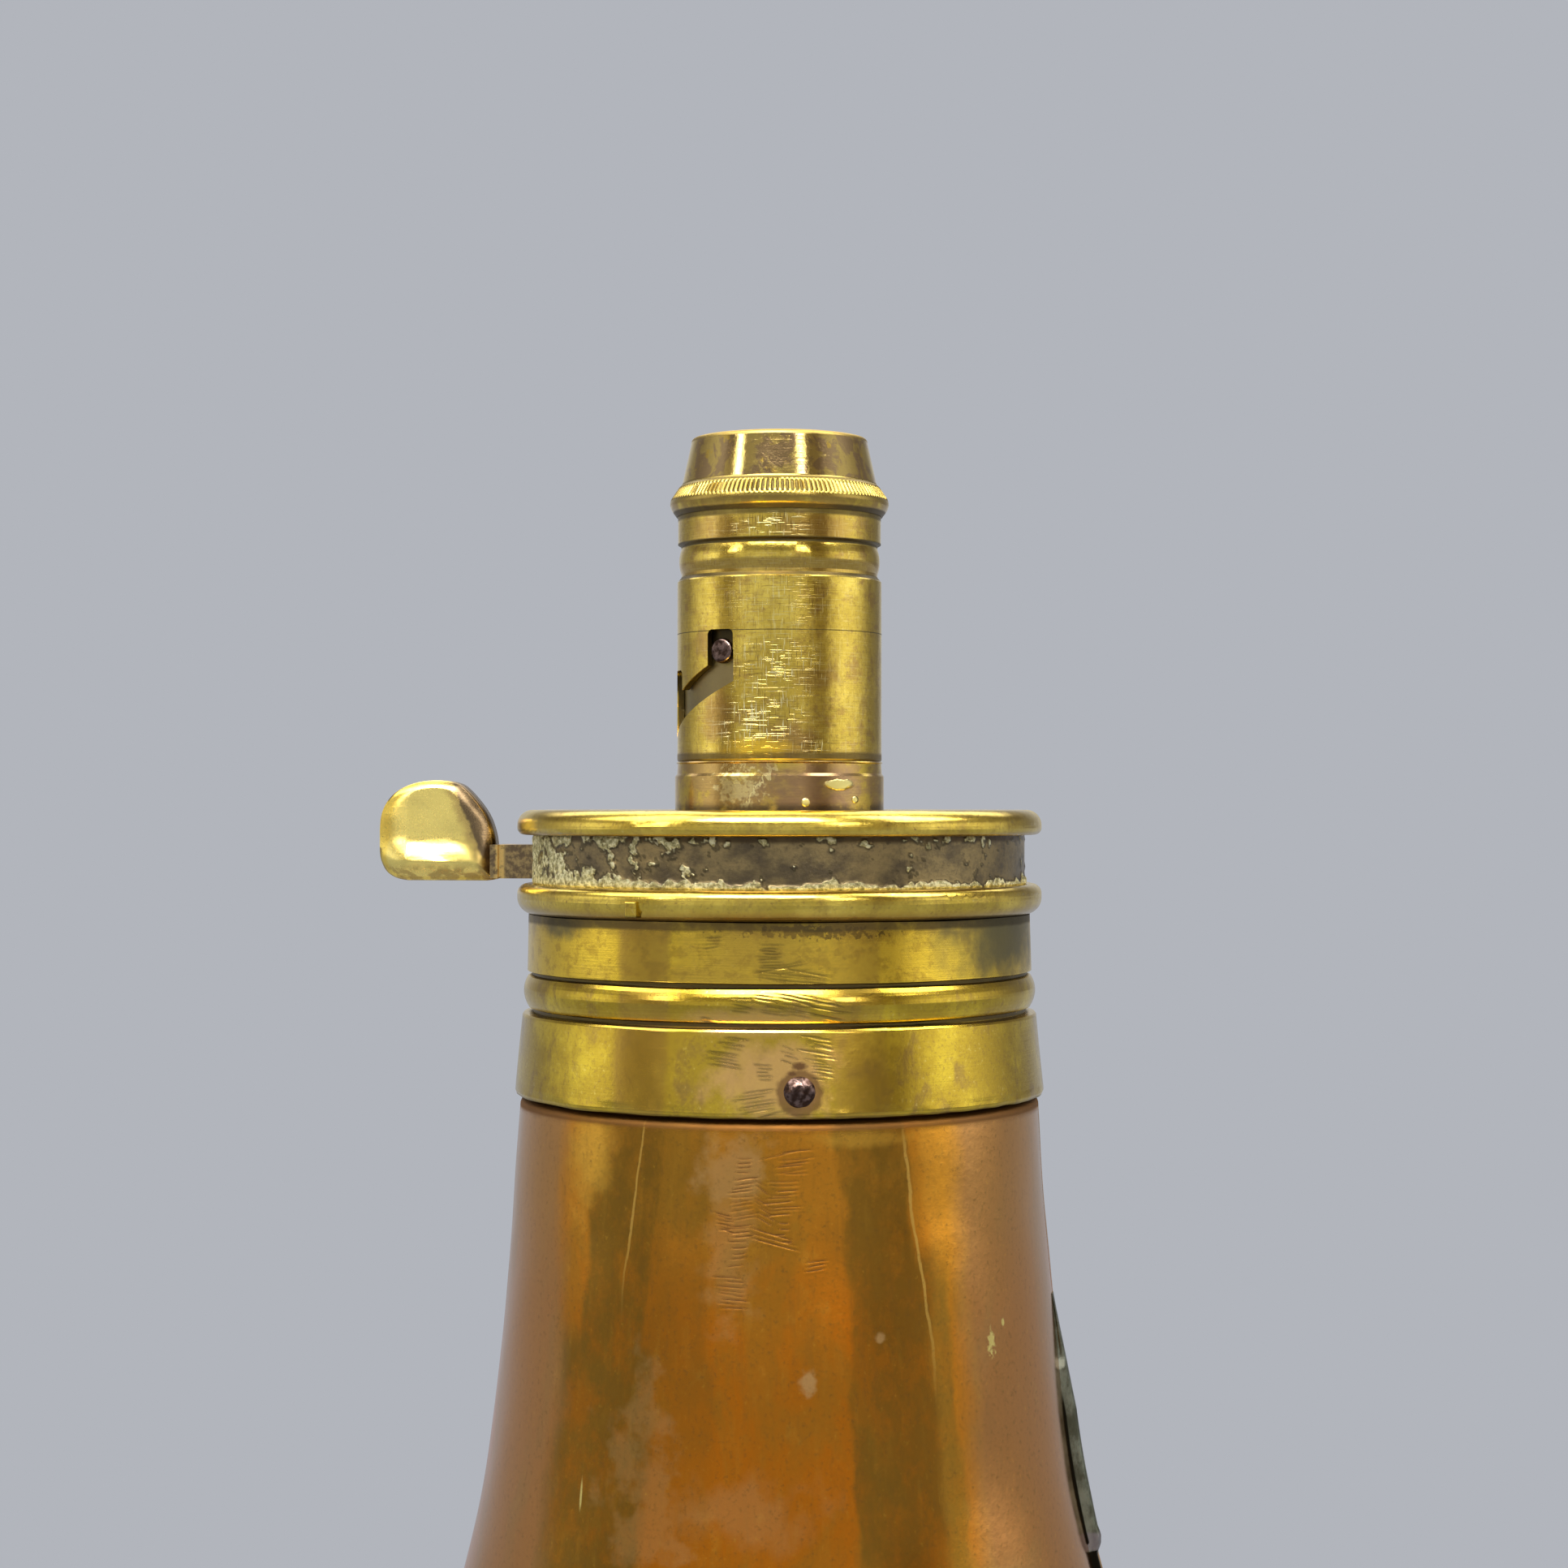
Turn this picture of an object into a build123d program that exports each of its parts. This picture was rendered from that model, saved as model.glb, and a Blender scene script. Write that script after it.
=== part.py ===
from build123d import *

import os
from math import cos, radians, sin

os.makedirs("parts", exist_ok=True)

# A copper powder flask with a brass top, an adjustable powder charger and a cut-off lever.
# It stands on the seam at the bottom of its body, with +Z up. The body's seam lies in the XZ plane, and the
# lever's thumb piece points to -X. Angles are polar angles about Z, in degrees from +X, and sizes are in mm.

# ---------------------------------------------------------------- driving dimensions

# Body
WALL = 0.8
SEAM_PROUD = 1.0
SEAM_T = 1.1
SEAM_RIGHT_Z = (121.0, 135.0)   # on +X: full below the first height, and gone above the second
SEAM_LEFT_Z = (96.0, 111.0)     # on -X, where its upper end is dressed flush
SEAM_END_PROUD = 0.15
BELLY_Z = 46.0
BELLY_HALF_WIDTH = 43.6
BELLY_HALF_DEPTH = 23.8
BODY_FLOOR = SEAM_PROUD
ROUNDNESS = 2.3             # exponent of the curve below the belly: 2 is an ellipse
LOWER_SHARES = [0.0, 0.2, 0.4, 0.58, 0.74, 0.87, 0.95, 0.985, 0.998]
UPPER_BODY = [              # height, half width and half depth
    (64.0, 41.4, 23.8),
    (80.0, 36.6, 23.4),
    (94.0, 31.2, 22.7),
    (106.0, 26.7, 21.9),
    (117.7, 23.1, 21.0),
    (125.0, 21.55, 20.4),
    (134.0, 20.5, 19.9),
    (143.0, 19.65, 19.4),
    (150.5, 19.1, 19.1),
]
NECK_R = 17.85
NECK_SHOULDER_GAP = 0.25    # between the shoulder and the collar's lower edge

# Head: top plate, chamber band, base disc and collar, from the top down
PLATE_TOP = 172.6
PLATE_R = 19.3
PLATE_T = 1.8
BAND_R = 18.05
BAND_INNER_R = 16.4
CHAMBER_H = 3.6
FLANGE_T = 2.2
THROAT_R = 4.5
SPIGOT_R = 16.95
SPIGOT_WALL = 1.05
SPIGOT_H = 4.8
COLLAR_BORE_R = 17.0
COLLAR_SKIRT_BORE_R = 17.9
COLLAR_BORE_DEPTH = 5.3
COLLAR_H = 13.1
COLLAR_TOP_R = 18.45
COLLAR_BOTTOM_R = 19.45

# Cut-off: the lever turns about the pivot screw and carries the shutter off the throat
PIVOT_X = -14.6
PIVOT_R = 1.1
ARM_BOTTOM = 167.5
ARM_T = 2.5
ARM_HALF_WIDTH = 2.0
BOSS_R = 2.4
TONGUE_T = 1.6              # the arm's inner half, over the shutter
TONGUE_HALF_WIDTH = 1.9
SHUTTER_R = 5.4
SHUTTER_T = 0.8
SHUTTER_Z = 167.25
SHAFT_CLEARANCE = 0.05
THUMB_X = -25.9
THUMB_WIDTH = 8.9
THUMB_BOTTOM = 167.3
THUMB_H = 7.5
THUMB_T = 4.2

# Charger: an inner tube screwed into the plate, and a slotted measuring sleeve with a nozzle
TUBE_BASE_R = 7.72
TUBE_BASE_H = 3.55
TUBE_R = 6.97
TUBE_BORE_R = 6.4
TUBE_H = 20.2
SHANK_R = 6.0
SHANK_BORE_R = 4.7
SLEEVE_R = 7.55
SLEEVE_BORE_R = 7.02
SLEEVE_BOTTOM = 3.58        # heights from here on are above the top plate
SLEEVE_TOP = 21.6
NOZZLE_TOP = 27.4
NOZZLE_BORE_R = 5.5
MILLED_R = 8.07
GUIDE_R = 0.92
GUIDE_Z = 11.45
NOTCH_ANGLE = -115.8        # middle of the upper notch
NOTCH_STEP_ANGLE = 44.0     # to the next notch, clockwise from above
NOTCH_STEP_Z = 2.78         # each further notch is lower in the sleeve by a quarter of a dram
NOTCH_HALF_WIDTH = 1.12
NOTCH_TOP = 13.0
NOTCHES = 2
CHANNEL_FLOOR = 9.25        # at the open side of the upper notch
CHANNEL_H = 2.27

# Screws and pins
COLLAR_SCREW_ANGLES = [-77.0, 43.0, 163.0]
COLLAR_SCREW_Z = 153.6
COLLAR_SCREW_R = 0.7
COLLAR_SCREW_HEAD_R = 1.3
COLLAR_SCREW_HEAD_H = 1.05
COLLAR_SCREW_SEAT_R = 18.8  # distance from the axis to the underside of a head
LOCK_PIN_ANGLE = -112.4
LOCK_PIN_Z = 165.85
LOCK_PIN_LENGTH = 3.7
LOCK_PIN_PROUD = 0.3
TOP_SCREW_ANGLES = [60.0, -60.0]
TOP_SCREW_CIRCLE_R = 13.8
TOP_SCREW_R = 0.9
TOP_SCREW_HEAD_R = 1.7
TOP_SCREW_HEAD_H = 0.9
SPRING_POST = (-10.46, -10.46)
SPRING_POST_R = 0.8
SPRING_T = 0.4
SPRING_H = 1.9

# ---------------------------------------------------------------- derived heights and helpers

PLATE_BOTTOM = PLATE_TOP - PLATE_T
CHAMBER_FLOOR = PLATE_BOTTOM - CHAMBER_H
FLANGE_BOTTOM = CHAMBER_FLOOR - FLANGE_T
COLLAR_BOTTOM = FLANGE_BOTTOM - COLLAR_H
NECK_TOP = FLANGE_BOTTOM - COLLAR_BORE_DEPTH - 0.2
SHOULDER_Z = COLLAR_BOTTOM - NECK_SHOULDER_GAP
SCREW_FOOT = CHAMBER_FLOOR - 1.6


def radial_plane(angle, radius, height):
    """A plane that faces outwards at a polar angle, with its y axis up."""
    turn = radians(angle)
    outward = Vector(cos(turn), sin(turn), 0)
    return Plane(
        origin=(radius * outward.X, radius * outward.Y, height),
        x_dir=(-outward.Y, outward.X, 0),
        z_dir=outward,
    )


def upright_plane(height, x=0.0):
    """The XZ plane with its origin moved up to a height, and its own y axis along +Z."""
    return Plane(origin=(x, 0, height), x_dir=(1, 0, 0), z_dir=(0, -1, 0))


def sector(from_angle, to_angle, bottom, height, radius=22):
    """A wedge about the Z axis between two polar angles."""
    corners = [(radius * cos(radians(a)), radius * sin(radians(a))) for a in (from_angle, to_angle)]
    with BuildPart() as wedge:
        with BuildSketch(Plane.XY.offset(bottom)):
            Polygon((0, 0), *corners, align=None)
        extrude(amount=height)
    return wedge.part


def finish_part(builder, name):
    builder.part.label = name
    export_step(builder.part, f"parts/{name}.step")


# ---------------------------------------------------------------- body


def body_sections(inset=0.0):
    """Height, half width and half depth of the body's oval sections, from its floor to its neck."""
    drop = BELLY_Z - BODY_FLOOR - inset
    lower = []
    for share in reversed(LOWER_SHARES):
        narrowing = (1 - share**ROUNDNESS) ** (1 / ROUNDNESS)
        half_width = (BELLY_HALF_WIDTH - inset) * narrowing
        half_depth = (BELLY_HALF_DEPTH - inset) * narrowing
        lower.append((BELLY_Z - drop * share, half_width, half_depth))
    return lower + [(z, a - inset, b - inset) for z, a, b in UPPER_BODY]


def body_solid(inset=0.0):
    with BuildPart() as form:
        for height, half_width, half_depth in body_sections(inset):
            with BuildSketch(Plane.XY.offset(height)):
                Ellipse(half_width, half_depth)
        loft()
    return form.part


body_form = body_solid()
body_hollow = body_solid(WALL)

# The neck is drawn in by a rounded shoulder, so that it fits inside the collar.
NECK_BORE_R = NECK_R - WALL
FORM_TOP, FORM_TOP_R, _ = UPPER_BODY[-1]
with BuildPart() as neck_ring:
    with BuildSketch(Plane.XZ):
        with BuildLine():
            Polyline(
                (FORM_TOP_R, SHOULDER_Z - 0.45),
                (FORM_TOP_R, FORM_TOP),
                (FORM_TOP_R - WALL, FORM_TOP),
                (FORM_TOP_R - WALL, SHOULDER_Z - WALL),
                (NECK_BORE_R, SHOULDER_Z - WALL),
                (NECK_BORE_R, NECK_TOP),
                (NECK_R, NECK_TOP),
                (NECK_R, SHOULDER_Z),
                (FORM_TOP_R - 0.45, SHOULDER_Z),
            )
            RadiusArc((FORM_TOP_R - 0.45, SHOULDER_Z), (FORM_TOP_R, SHOULDER_Z - 0.45), 0.45)
        make_face()
    revolve(axis=Axis.Z)

# Dome-headed screws through the collar and the neck, as one group
SCREW_TIP_R = NECK_BORE_R - 0.9
with BuildPart() as collar_screws:
    for angle in COLLAR_SCREW_ANGLES:
        with BuildSketch(radial_plane(angle, SCREW_TIP_R, COLLAR_SCREW_Z)):
            Circle(COLLAR_SCREW_R)
        extrude(amount=COLLAR_SCREW_SEAT_R - SCREW_TIP_R)
        with BuildSketch(radial_plane(angle, COLLAR_SCREW_SEAT_R, COLLAR_SCREW_Z)):
            Circle(COLLAR_SCREW_HEAD_R)
        extrude(amount=COLLAR_SCREW_HEAD_H)
        outward = radial_plane(angle, 0, 0).z_dir
        outer_rim = collar_screws.edges().sort_by(lambda edge: edge.center().dot(outward))[-1]
        fillet(outer_rim, 0.55)
finish_part(collar_screws, "collar_screws")


# The hollow body is split along the seam plane into its two pressed halves.
for name, half in (("body_front_shell", Keep.TOP), ("body_rear_shell", Keep.BOTTOM)):
    with BuildPart() as copper_half:
        add(body_form)
        add(body_hollow, mode=Mode.SUBTRACT)
        add(neck_ring.part)
        add(collar_screws.part, mode=Mode.SUBTRACT)
        split(bisect_by=Plane.XZ, keep=half)
    finish_part(copper_half, name)


def seam_side(full_z, top_z):
    """Points of one side of the seam's outer edge, as distances from the axis and heights, from its floor up."""
    side = [(x, z) for z, x, _ in body_sections(-SEAM_PROUD) if z < full_z - 2]
    for height in (full_z, (full_z + top_z) / 2, top_z):
        share = (top_z - height) / (top_z - full_z)
        proud = SEAM_END_PROUD + (SEAM_PROUD - SEAM_END_PROUD) * share
        side.append((half_width_at(height) + proud, height))
    return side


def half_width_at(height):
    """The body's half width at a height above its belly, between two of its sections."""
    for (low, a, _), (high, b, _) in zip(UPPER_BODY, UPPER_BODY[1:]):
        if low <= height <= high:
            return a + (b - a) * (height - low) / (high - low)


with BuildPart() as seam_solder:
    outline = seam_side(*SEAM_RIGHT_Z)[::-1] + [(-x, z) for x, z in seam_side(*SEAM_LEFT_Z)]
    with BuildSketch(Plane.XZ):
        with BuildLine():
            Spline(*outline)
            Line(outline[-1], outline[0])
        make_face()
    extrude(amount=SEAM_T / 2, both=True)
    add(body_form, mode=Mode.SUBTRACT)
finish_part(seam_solder, "seam_solder")

# ---------------------------------------------------------------- collar

with BuildPart() as collar:
    skirt_bottom = -COLLAR_H
    with BuildSketch(upright_plane(FLANGE_BOTTOM)):
        with BuildLine():
            Polyline(
                (COLLAR_BORE_R, -COLLAR_BORE_DEPTH),
                (COLLAR_BORE_R, 0),
                (COLLAR_TOP_R, 0),
                (18.55, -4.1),
                (18.2, -4.2),
                (18.2, -4.4),
                (18.5, -4.5),
            )
            ThreePointArc((18.5, -4.5), (18.82, -5.6), (18.45, -6.75))
            Polyline(
                (18.45, -6.75),
                (18.15, -6.85),
                (18.15, -7.1),
                (18.8, -7.2),
                (18.9, -7.35),
                (COLLAR_BOTTOM_R, skirt_bottom + 0.3),
                (COLLAR_BOTTOM_R - 0.12, skirt_bottom),
                (COLLAR_SKIRT_BORE_R, skirt_bottom),
                (COLLAR_SKIRT_BORE_R, -COLLAR_BORE_DEPTH),
                (COLLAR_BORE_R, -COLLAR_BORE_DEPTH),
            )
        make_face()
    revolve(axis=Axis.Z)
    add(collar_screws.part, mode=Mode.SUBTRACT)
finish_part(collar, "collar")

# ---------------------------------------------------------------- head

# A squared pin through the flange keeps the head from unscrewing.
with BuildPart() as collar_lock_pin:
    with BuildSketch(radial_plane(LOCK_PIN_ANGLE, PLATE_R + LOCK_PIN_PROUD - LOCK_PIN_LENGTH, LOCK_PIN_Z)):
        Rectangle(0.95, 1.1)
    extrude(amount=LOCK_PIN_LENGTH)
    fillet(collar_lock_pin.faces().sort_by(Axis.Y)[0].edges(), 0.15)
finish_part(collar_lock_pin, "collar_lock_pin")


def countersunk_screws(places, shank_r, head_r=TOP_SCREW_HEAD_R):
    """Countersunk screws from the top plate through the chamber into the base disc, without driver slots."""
    with BuildPart() as screws:
        with BuildSketch(Plane.XZ) as profile:
            Polygon(
                (0, SCREW_FOOT),
                (shank_r, SCREW_FOOT),
                (shank_r, PLATE_TOP - TOP_SCREW_HEAD_H),
                (head_r, PLATE_TOP - 0.1),
                (head_r, PLATE_TOP),
                (0, PLATE_TOP),
                align=None,
            )
        screw = revolve(profile.sketch, axis=Axis.Z, mode=Mode.PRIVATE)
        for x, y in places:
            add(screw.moved(Location((x, y, 0))))
    return screws.part


TOP_SCREW_PLACES = [
    (TOP_SCREW_CIRCLE_R * cos(radians(angle)), TOP_SCREW_CIRCLE_R * sin(radians(angle)))
    for angle in TOP_SCREW_ANGLES
]
PIVOT_PLACES = [(PIVOT_X, 0)]

for name, places, shank_r in (
    ("top_screws", TOP_SCREW_PLACES, TOP_SCREW_R),
    ("pivot_screw", PIVOT_PLACES, PIVOT_R),
):
    blanks = countersunk_screws(places, shank_r)
    with BuildPart() as slotted_screws:
        add(blanks)
        with Locations(*[(x, y, PLATE_TOP) for x, y in places]):
            Box(
                2.2 * TOP_SCREW_HEAD_R,
                0.45,
                0.5,
                align=(Align.CENTER, Align.CENTER, Align.MAX),
                mode=Mode.SUBTRACT,
            )
    finish_part(slotted_screws, name)

screw_holes = [
    countersunk_screws(TOP_SCREW_PLACES, TOP_SCREW_R),
    countersunk_screws(PIVOT_PLACES, PIVOT_R),
]

with BuildPart() as spring_post:
    with BuildSketch(Plane.XY.offset(SCREW_FOOT)):
        with Locations(SPRING_POST):
            Circle(SPRING_POST_R)
    extrude(amount=PLATE_BOTTOM - 0.4 - SCREW_FOOT)
finish_part(spring_post, "spring_post")

with BuildPart() as base_disc:
    with BuildSketch(Plane.XY.offset(FLANGE_BOTTOM)):
        Circle(PLATE_R)
    extrude(amount=FLANGE_T)
    fillet(base_disc.edges().sort_by(Axis.Z)[-1], 0.7)
    fillet(base_disc.edges().sort_by(Axis.Z)[0], 1.2)
    with BuildSketch(Plane.XY.offset(FLANGE_BOTTOM)):
        Circle(SPIGOT_R)
        Circle(SPIGOT_R - SPIGOT_WALL, mode=Mode.SUBTRACT)
    extrude(amount=-SPIGOT_H)
    with Locations((0, 0, FLANGE_BOTTOM)):
        Cylinder(THROAT_R, 3 * FLANGE_T, mode=Mode.SUBTRACT)
    throat_edge = base_disc.edges().filter_by(GeomType.CIRCLE).filter_by(
        lambda edge: abs(edge.radius - THROAT_R) < 0.01
    ).sort_by(Axis.Z)[0]
    chamfer(throat_edge, 0.8)
    add(screw_holes, mode=Mode.SUBTRACT)
    add(spring_post.part, mode=Mode.SUBTRACT)
    add(collar_lock_pin.part, mode=Mode.SUBTRACT)
finish_part(base_disc, "base_disc")

# The band's window lets the lever's arm swing towards +Y. It is open to the top plate.
WINDOW_FROM, WINDOW_TO = 162.0, 187.2
WINDOW_SILL = 0.15
with BuildPart() as chamber_band:
    with BuildSketch(Plane.XY.offset(CHAMBER_FLOOR)):
        Circle(BAND_R)
        Circle(BAND_INNER_R, mode=Mode.SUBTRACT)
    extrude(amount=CHAMBER_H)
    add(sector(WINDOW_FROM, WINDOW_TO, CHAMBER_FLOOR + WINDOW_SILL, CHAMBER_H), mode=Mode.SUBTRACT)
finish_part(chamber_band, "chamber_band")

with BuildPart() as top_plate:
    with BuildSketch(Plane.XY.offset(PLATE_BOTTOM)):
        Circle(PLATE_R)
    extrude(amount=PLATE_T)
    fillet(top_plate.edges().sort_by(Axis.Z)[-1], 1.1)
    fillet(top_plate.edges().sort_by(Axis.Z)[0], 0.5)
    with Locations((0, 0, PLATE_TOP)):
        Cylinder(SHANK_R + SHAFT_CLEARANCE, 3 * PLATE_T, mode=Mode.SUBTRACT)
    add(screw_holes, mode=Mode.SUBTRACT)
finish_part(top_plate, "top_plate")

# ---------------------------------------------------------------- cut-off lever

THUMB_INNER_X = THUMB_X + THUMB_WIDTH / 2
TONGUE_Z = SHUTTER_Z + SHUTTER_T
with BuildPart() as lever_arm:
    with BuildSketch(Plane.XY.offset(ARM_BOTTOM)):
        with Locations((PIVOT_X, 0)):
            Circle(BOSS_R)
        with Locations(((PIVOT_X + THUMB_INNER_X) / 2, 0)):
            Rectangle(PIVOT_X - THUMB_INNER_X, 2 * ARM_HALF_WIDTH)
    extrude(amount=ARM_T)
    with BuildSketch(Plane.XY.offset(TONGUE_Z)):
        with Locations(((PIVOT_X + 1.5) / 2, 0)):
            SlotOverall(1.5 - PIVOT_X + 2 * TONGUE_HALF_WIDTH, 2 * TONGUE_HALF_WIDTH)
    extrude(amount=TONGUE_T)
    with Locations((THUMB_INNER_X + 0.3, 0, ARM_BOTTOM + ARM_T / 2)):
        Box(0.6, 2 * ARM_HALF_WIDTH + 0.4, ARM_T)
    with Locations((PIVOT_X, 0, ARM_BOTTOM)):
        Cylinder(PIVOT_R + SHAFT_CLEARANCE, 4 * ARM_T, mode=Mode.SUBTRACT)
    RIVET_XS = (-3.0, 1.0)
    with Locations(*[(x, 0, TONGUE_Z) for x in RIVET_XS]):
        Cylinder(0.5, 4 * TONGUE_T, mode=Mode.SUBTRACT)
finish_part(lever_arm, "lever_arm")

with BuildPart() as thumb_piece:
    with BuildSketch(upright_plane(THUMB_BOTTOM, THUMB_X)):
        with BuildLine():
            half = THUMB_WIDTH / 2
            bottom = Line((2.4 - half, 0), (half, 0))
            right = Line(bottom @ 1, (half, 2.9))
            shoulder = Spline(right @ 1, (half - 1.4, 5.6), (0.3, THUMB_H), tangents=((0, 1), (-1, 0)))
            crown = Spline(shoulder @ 1, (1.1 - half, 5.7), (-half, 2.9), tangents=((-1, 0), (0, -1)))
            Spline(crown @ 1, (0.8 - half, 0.75), bottom @ 0, tangents=((0, -1), (1, 0)))
        make_face()
    extrude(amount=THUMB_T / 2, both=True)
    front_and_back = thumb_piece.faces().sort_by(Axis.Y)
    rim = front_and_back[0].edges() + front_and_back[-1].edges()
    fillet(rim.filter_by(lambda edge: edge.center().X < THUMB_INNER_X - 0.01), 0.9)
finish_part(thumb_piece, "thumb_piece")

with BuildPart() as shutter:
    with BuildSketch(Plane.XY.offset(SHUTTER_Z)):
        Circle(SHUTTER_R)
    extrude(amount=SHUTTER_T)
    with Locations(*[(x, 0, SHUTTER_Z) for x in RIVET_XS]):
        Cylinder(0.5, 4 * SHUTTER_T, mode=Mode.SUBTRACT)
finish_part(shutter, "shutter")

with BuildPart() as shutter_rivets:
    rivet_bottom = SHUTTER_Z + 0.05
    for x in RIVET_XS:
        with Locations((x, 0, rivet_bottom)):
            shank_h = TONGUE_Z + TONGUE_T - rivet_bottom
            Cylinder(0.5, shank_h, align=(Align.CENTER, Align.CENTER, Align.MIN))
        with Locations((x, 0, TONGUE_Z + TONGUE_T)):
            Cylinder(0.85, 0.35, align=(Align.CENTER, Align.CENTER, Align.MIN))
finish_part(shutter_rivets, "shutter_rivets")

# A bent leaf: an eye on its post, one leg along the band's wall, and one leg that bears on the tongue
with BuildPart() as return_spring:
    with BuildSketch(Plane.XY.offset(CHAMBER_FLOOR + 0.9)):
        with Locations(SPRING_POST):
            Circle(SPRING_POST_R + SPRING_T)
        with BuildLine():
            leaf = FilletPolyline(
                (SPRING_POST[0] - 0.75, SPRING_POST[1] - 0.75),
                (-13.9, -7.3),
                (-15.1, -3.9),
                (-8.2, -TONGUE_HALF_WIDTH - 0.25),
                radius=0.7,
            )
        trace(line_width=SPRING_T)
        with Locations(SPRING_POST):
            Circle(SPRING_POST_R, mode=Mode.SUBTRACT)
    extrude(amount=SPRING_H)
finish_part(return_spring, "return_spring")

# ---------------------------------------------------------------- charger

with BuildPart() as guide_screw:
    with BuildSketch(radial_plane(NOTCH_ANGLE + 0.3, TUBE_BORE_R + 0.1, PLATE_TOP + GUIDE_Z)):
        Circle(GUIDE_R)
    extrude(amount=SLEEVE_R - TUBE_BORE_R - 0.15)
    fillet(guide_screw.faces().sort_by(Axis.Y)[0].edges(), 0.25)
finish_part(guide_screw, "guide_screw")

with BuildPart() as charger_tube:
    with BuildSketch(upright_plane(PLATE_TOP)):
        with BuildLine():
            Polyline(
                (SHANK_BORE_R, 0.05 - PLATE_T),
                (SHANK_R, 0.05 - PLATE_T),
                (SHANK_R, 0),
                (TUBE_BASE_R, 0),
                (TUBE_BASE_R, 2.45),
                (TUBE_BASE_R - 0.16, 2.65),
                (TUBE_BASE_R - 0.2, 3.35),
                (TUBE_BASE_R - 0.1, 3.45),
                (TUBE_BASE_R - 0.2, TUBE_BASE_H),
                (TUBE_R, TUBE_BASE_H),
                (TUBE_R, TUBE_H),
                (TUBE_BORE_R, TUBE_H),
                (TUBE_BORE_R, 1.2),
                (SHANK_BORE_R, 0),
                (SHANK_BORE_R, 0.05 - PLATE_T),
            )
        make_face()
    revolve(axis=Axis.Z)
    add(guide_screw.part, mode=Mode.SUBTRACT)
finish_part(charger_tube, "charger_tube")


# The guide slot is a sloping channel with a notch above it for each charge, cut through the sleeve's wall.
NOTCH_HALF_ANGLE = 8.8
CHANNEL_OVERRUN = 3
SLOT_DEPTH = 1.4
SLEEVE_MIDDLE_R = (SLEEVE_R + SLEEVE_BORE_R) / 2
channel_turn = (NOTCHES - 1) * NOTCH_STEP_ANGLE + 2 * NOTCH_HALF_ANGLE
swept_turn = channel_turn + 2 * CHANNEL_OVERRUN
swept_rise = NOTCH_STEP_Z * swept_turn / NOTCH_STEP_ANGLE
channel_end = NOTCH_ANGLE + NOTCH_HALF_ANGLE
with BuildPart() as swept_channel:
    with BuildLine():
        channel_path = Helix(
            pitch=NOTCH_STEP_Z * 360 / NOTCH_STEP_ANGLE, height=swept_rise, radius=SLEEVE_MIDDLE_R
        )
    with BuildSketch(upright_plane(0, SLEEVE_MIDDLE_R)):
        Rectangle(SLOT_DEPTH, CHANNEL_H)
    sweep(path=channel_path, is_frenet=True)

# The sweep runs past both end walls, and is cut back to them.
middle_angle = channel_end - channel_turn / 2
middle_z = PLATE_TOP + CHANNEL_FLOOR + (CHANNEL_H - NOTCH_STEP_Z * channel_turn / NOTCH_STEP_ANGLE) / 2
channel_place = Location(
    (0, 0, middle_z - swept_rise / 2), (0, 0, middle_angle - swept_turn / 2)
)
with BuildPart() as channel:
    add(swept_channel.part.moved(channel_place))
    add(sector(channel_end - channel_turn, channel_end, PLATE_TOP, SLEEVE_TOP), mode=Mode.INTERSECT)

with BuildPart() as slot_cutter:
    add(channel.part)
    for notch in range(NOTCHES):
        notch_angle = NOTCH_ANGLE - notch * NOTCH_STEP_ANGLE
        notch_top = PLATE_TOP + NOTCH_TOP - notch * NOTCH_STEP_Z
        notch_foot = PLATE_TOP + CHANNEL_FLOOR - notch * NOTCH_STEP_Z + 0.6
        with BuildSketch(
            radial_plane(notch_angle, SLEEVE_MIDDLE_R - SLOT_DEPTH / 2, (notch_top + notch_foot) / 2)
        ):
            RectangleRounded(2 * NOTCH_HALF_WIDTH, notch_top - notch_foot, 0.4)
        extrude(amount=SLOT_DEPTH)

with BuildPart() as charger_sleeve:
    with BuildSketch(upright_plane(PLATE_TOP)):
        with BuildLine():
            Polyline(
                (SLEEVE_BORE_R, SLEEVE_BOTTOM),
                (SLEEVE_R - 0.05, SLEEVE_BOTTOM),
                (SLEEVE_R, SLEEVE_BOTTOM + 0.1),
                (SLEEVE_R, 16.75),
                (SLEEVE_R - 0.12, 16.9),
                (SLEEVE_R - 0.3, 17.1),
                (SLEEVE_R - 0.3, 17.35),
            )
            ThreePointArc((SLEEVE_R - 0.3, 17.35), (SLEEVE_R - 0.13, 18.3), (SLEEVE_R - 0.3, 19.2))
            Polyline(
                (SLEEVE_R - 0.3, 19.2),
                (SLEEVE_R - 0.3, 19.4),
                (SLEEVE_R - 0.05, 19.55),
                (SLEEVE_R - 0.05, SLEEVE_TOP),
                (SLEEVE_BORE_R, SLEEVE_TOP),
                (SLEEVE_BORE_R, SLEEVE_BOTTOM),
            )
        make_face()
    revolve(axis=Axis.Z)
    add(slot_cutter.part, mode=Mode.SUBTRACT)
finish_part(charger_sleeve, "charger_sleeve")

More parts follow.
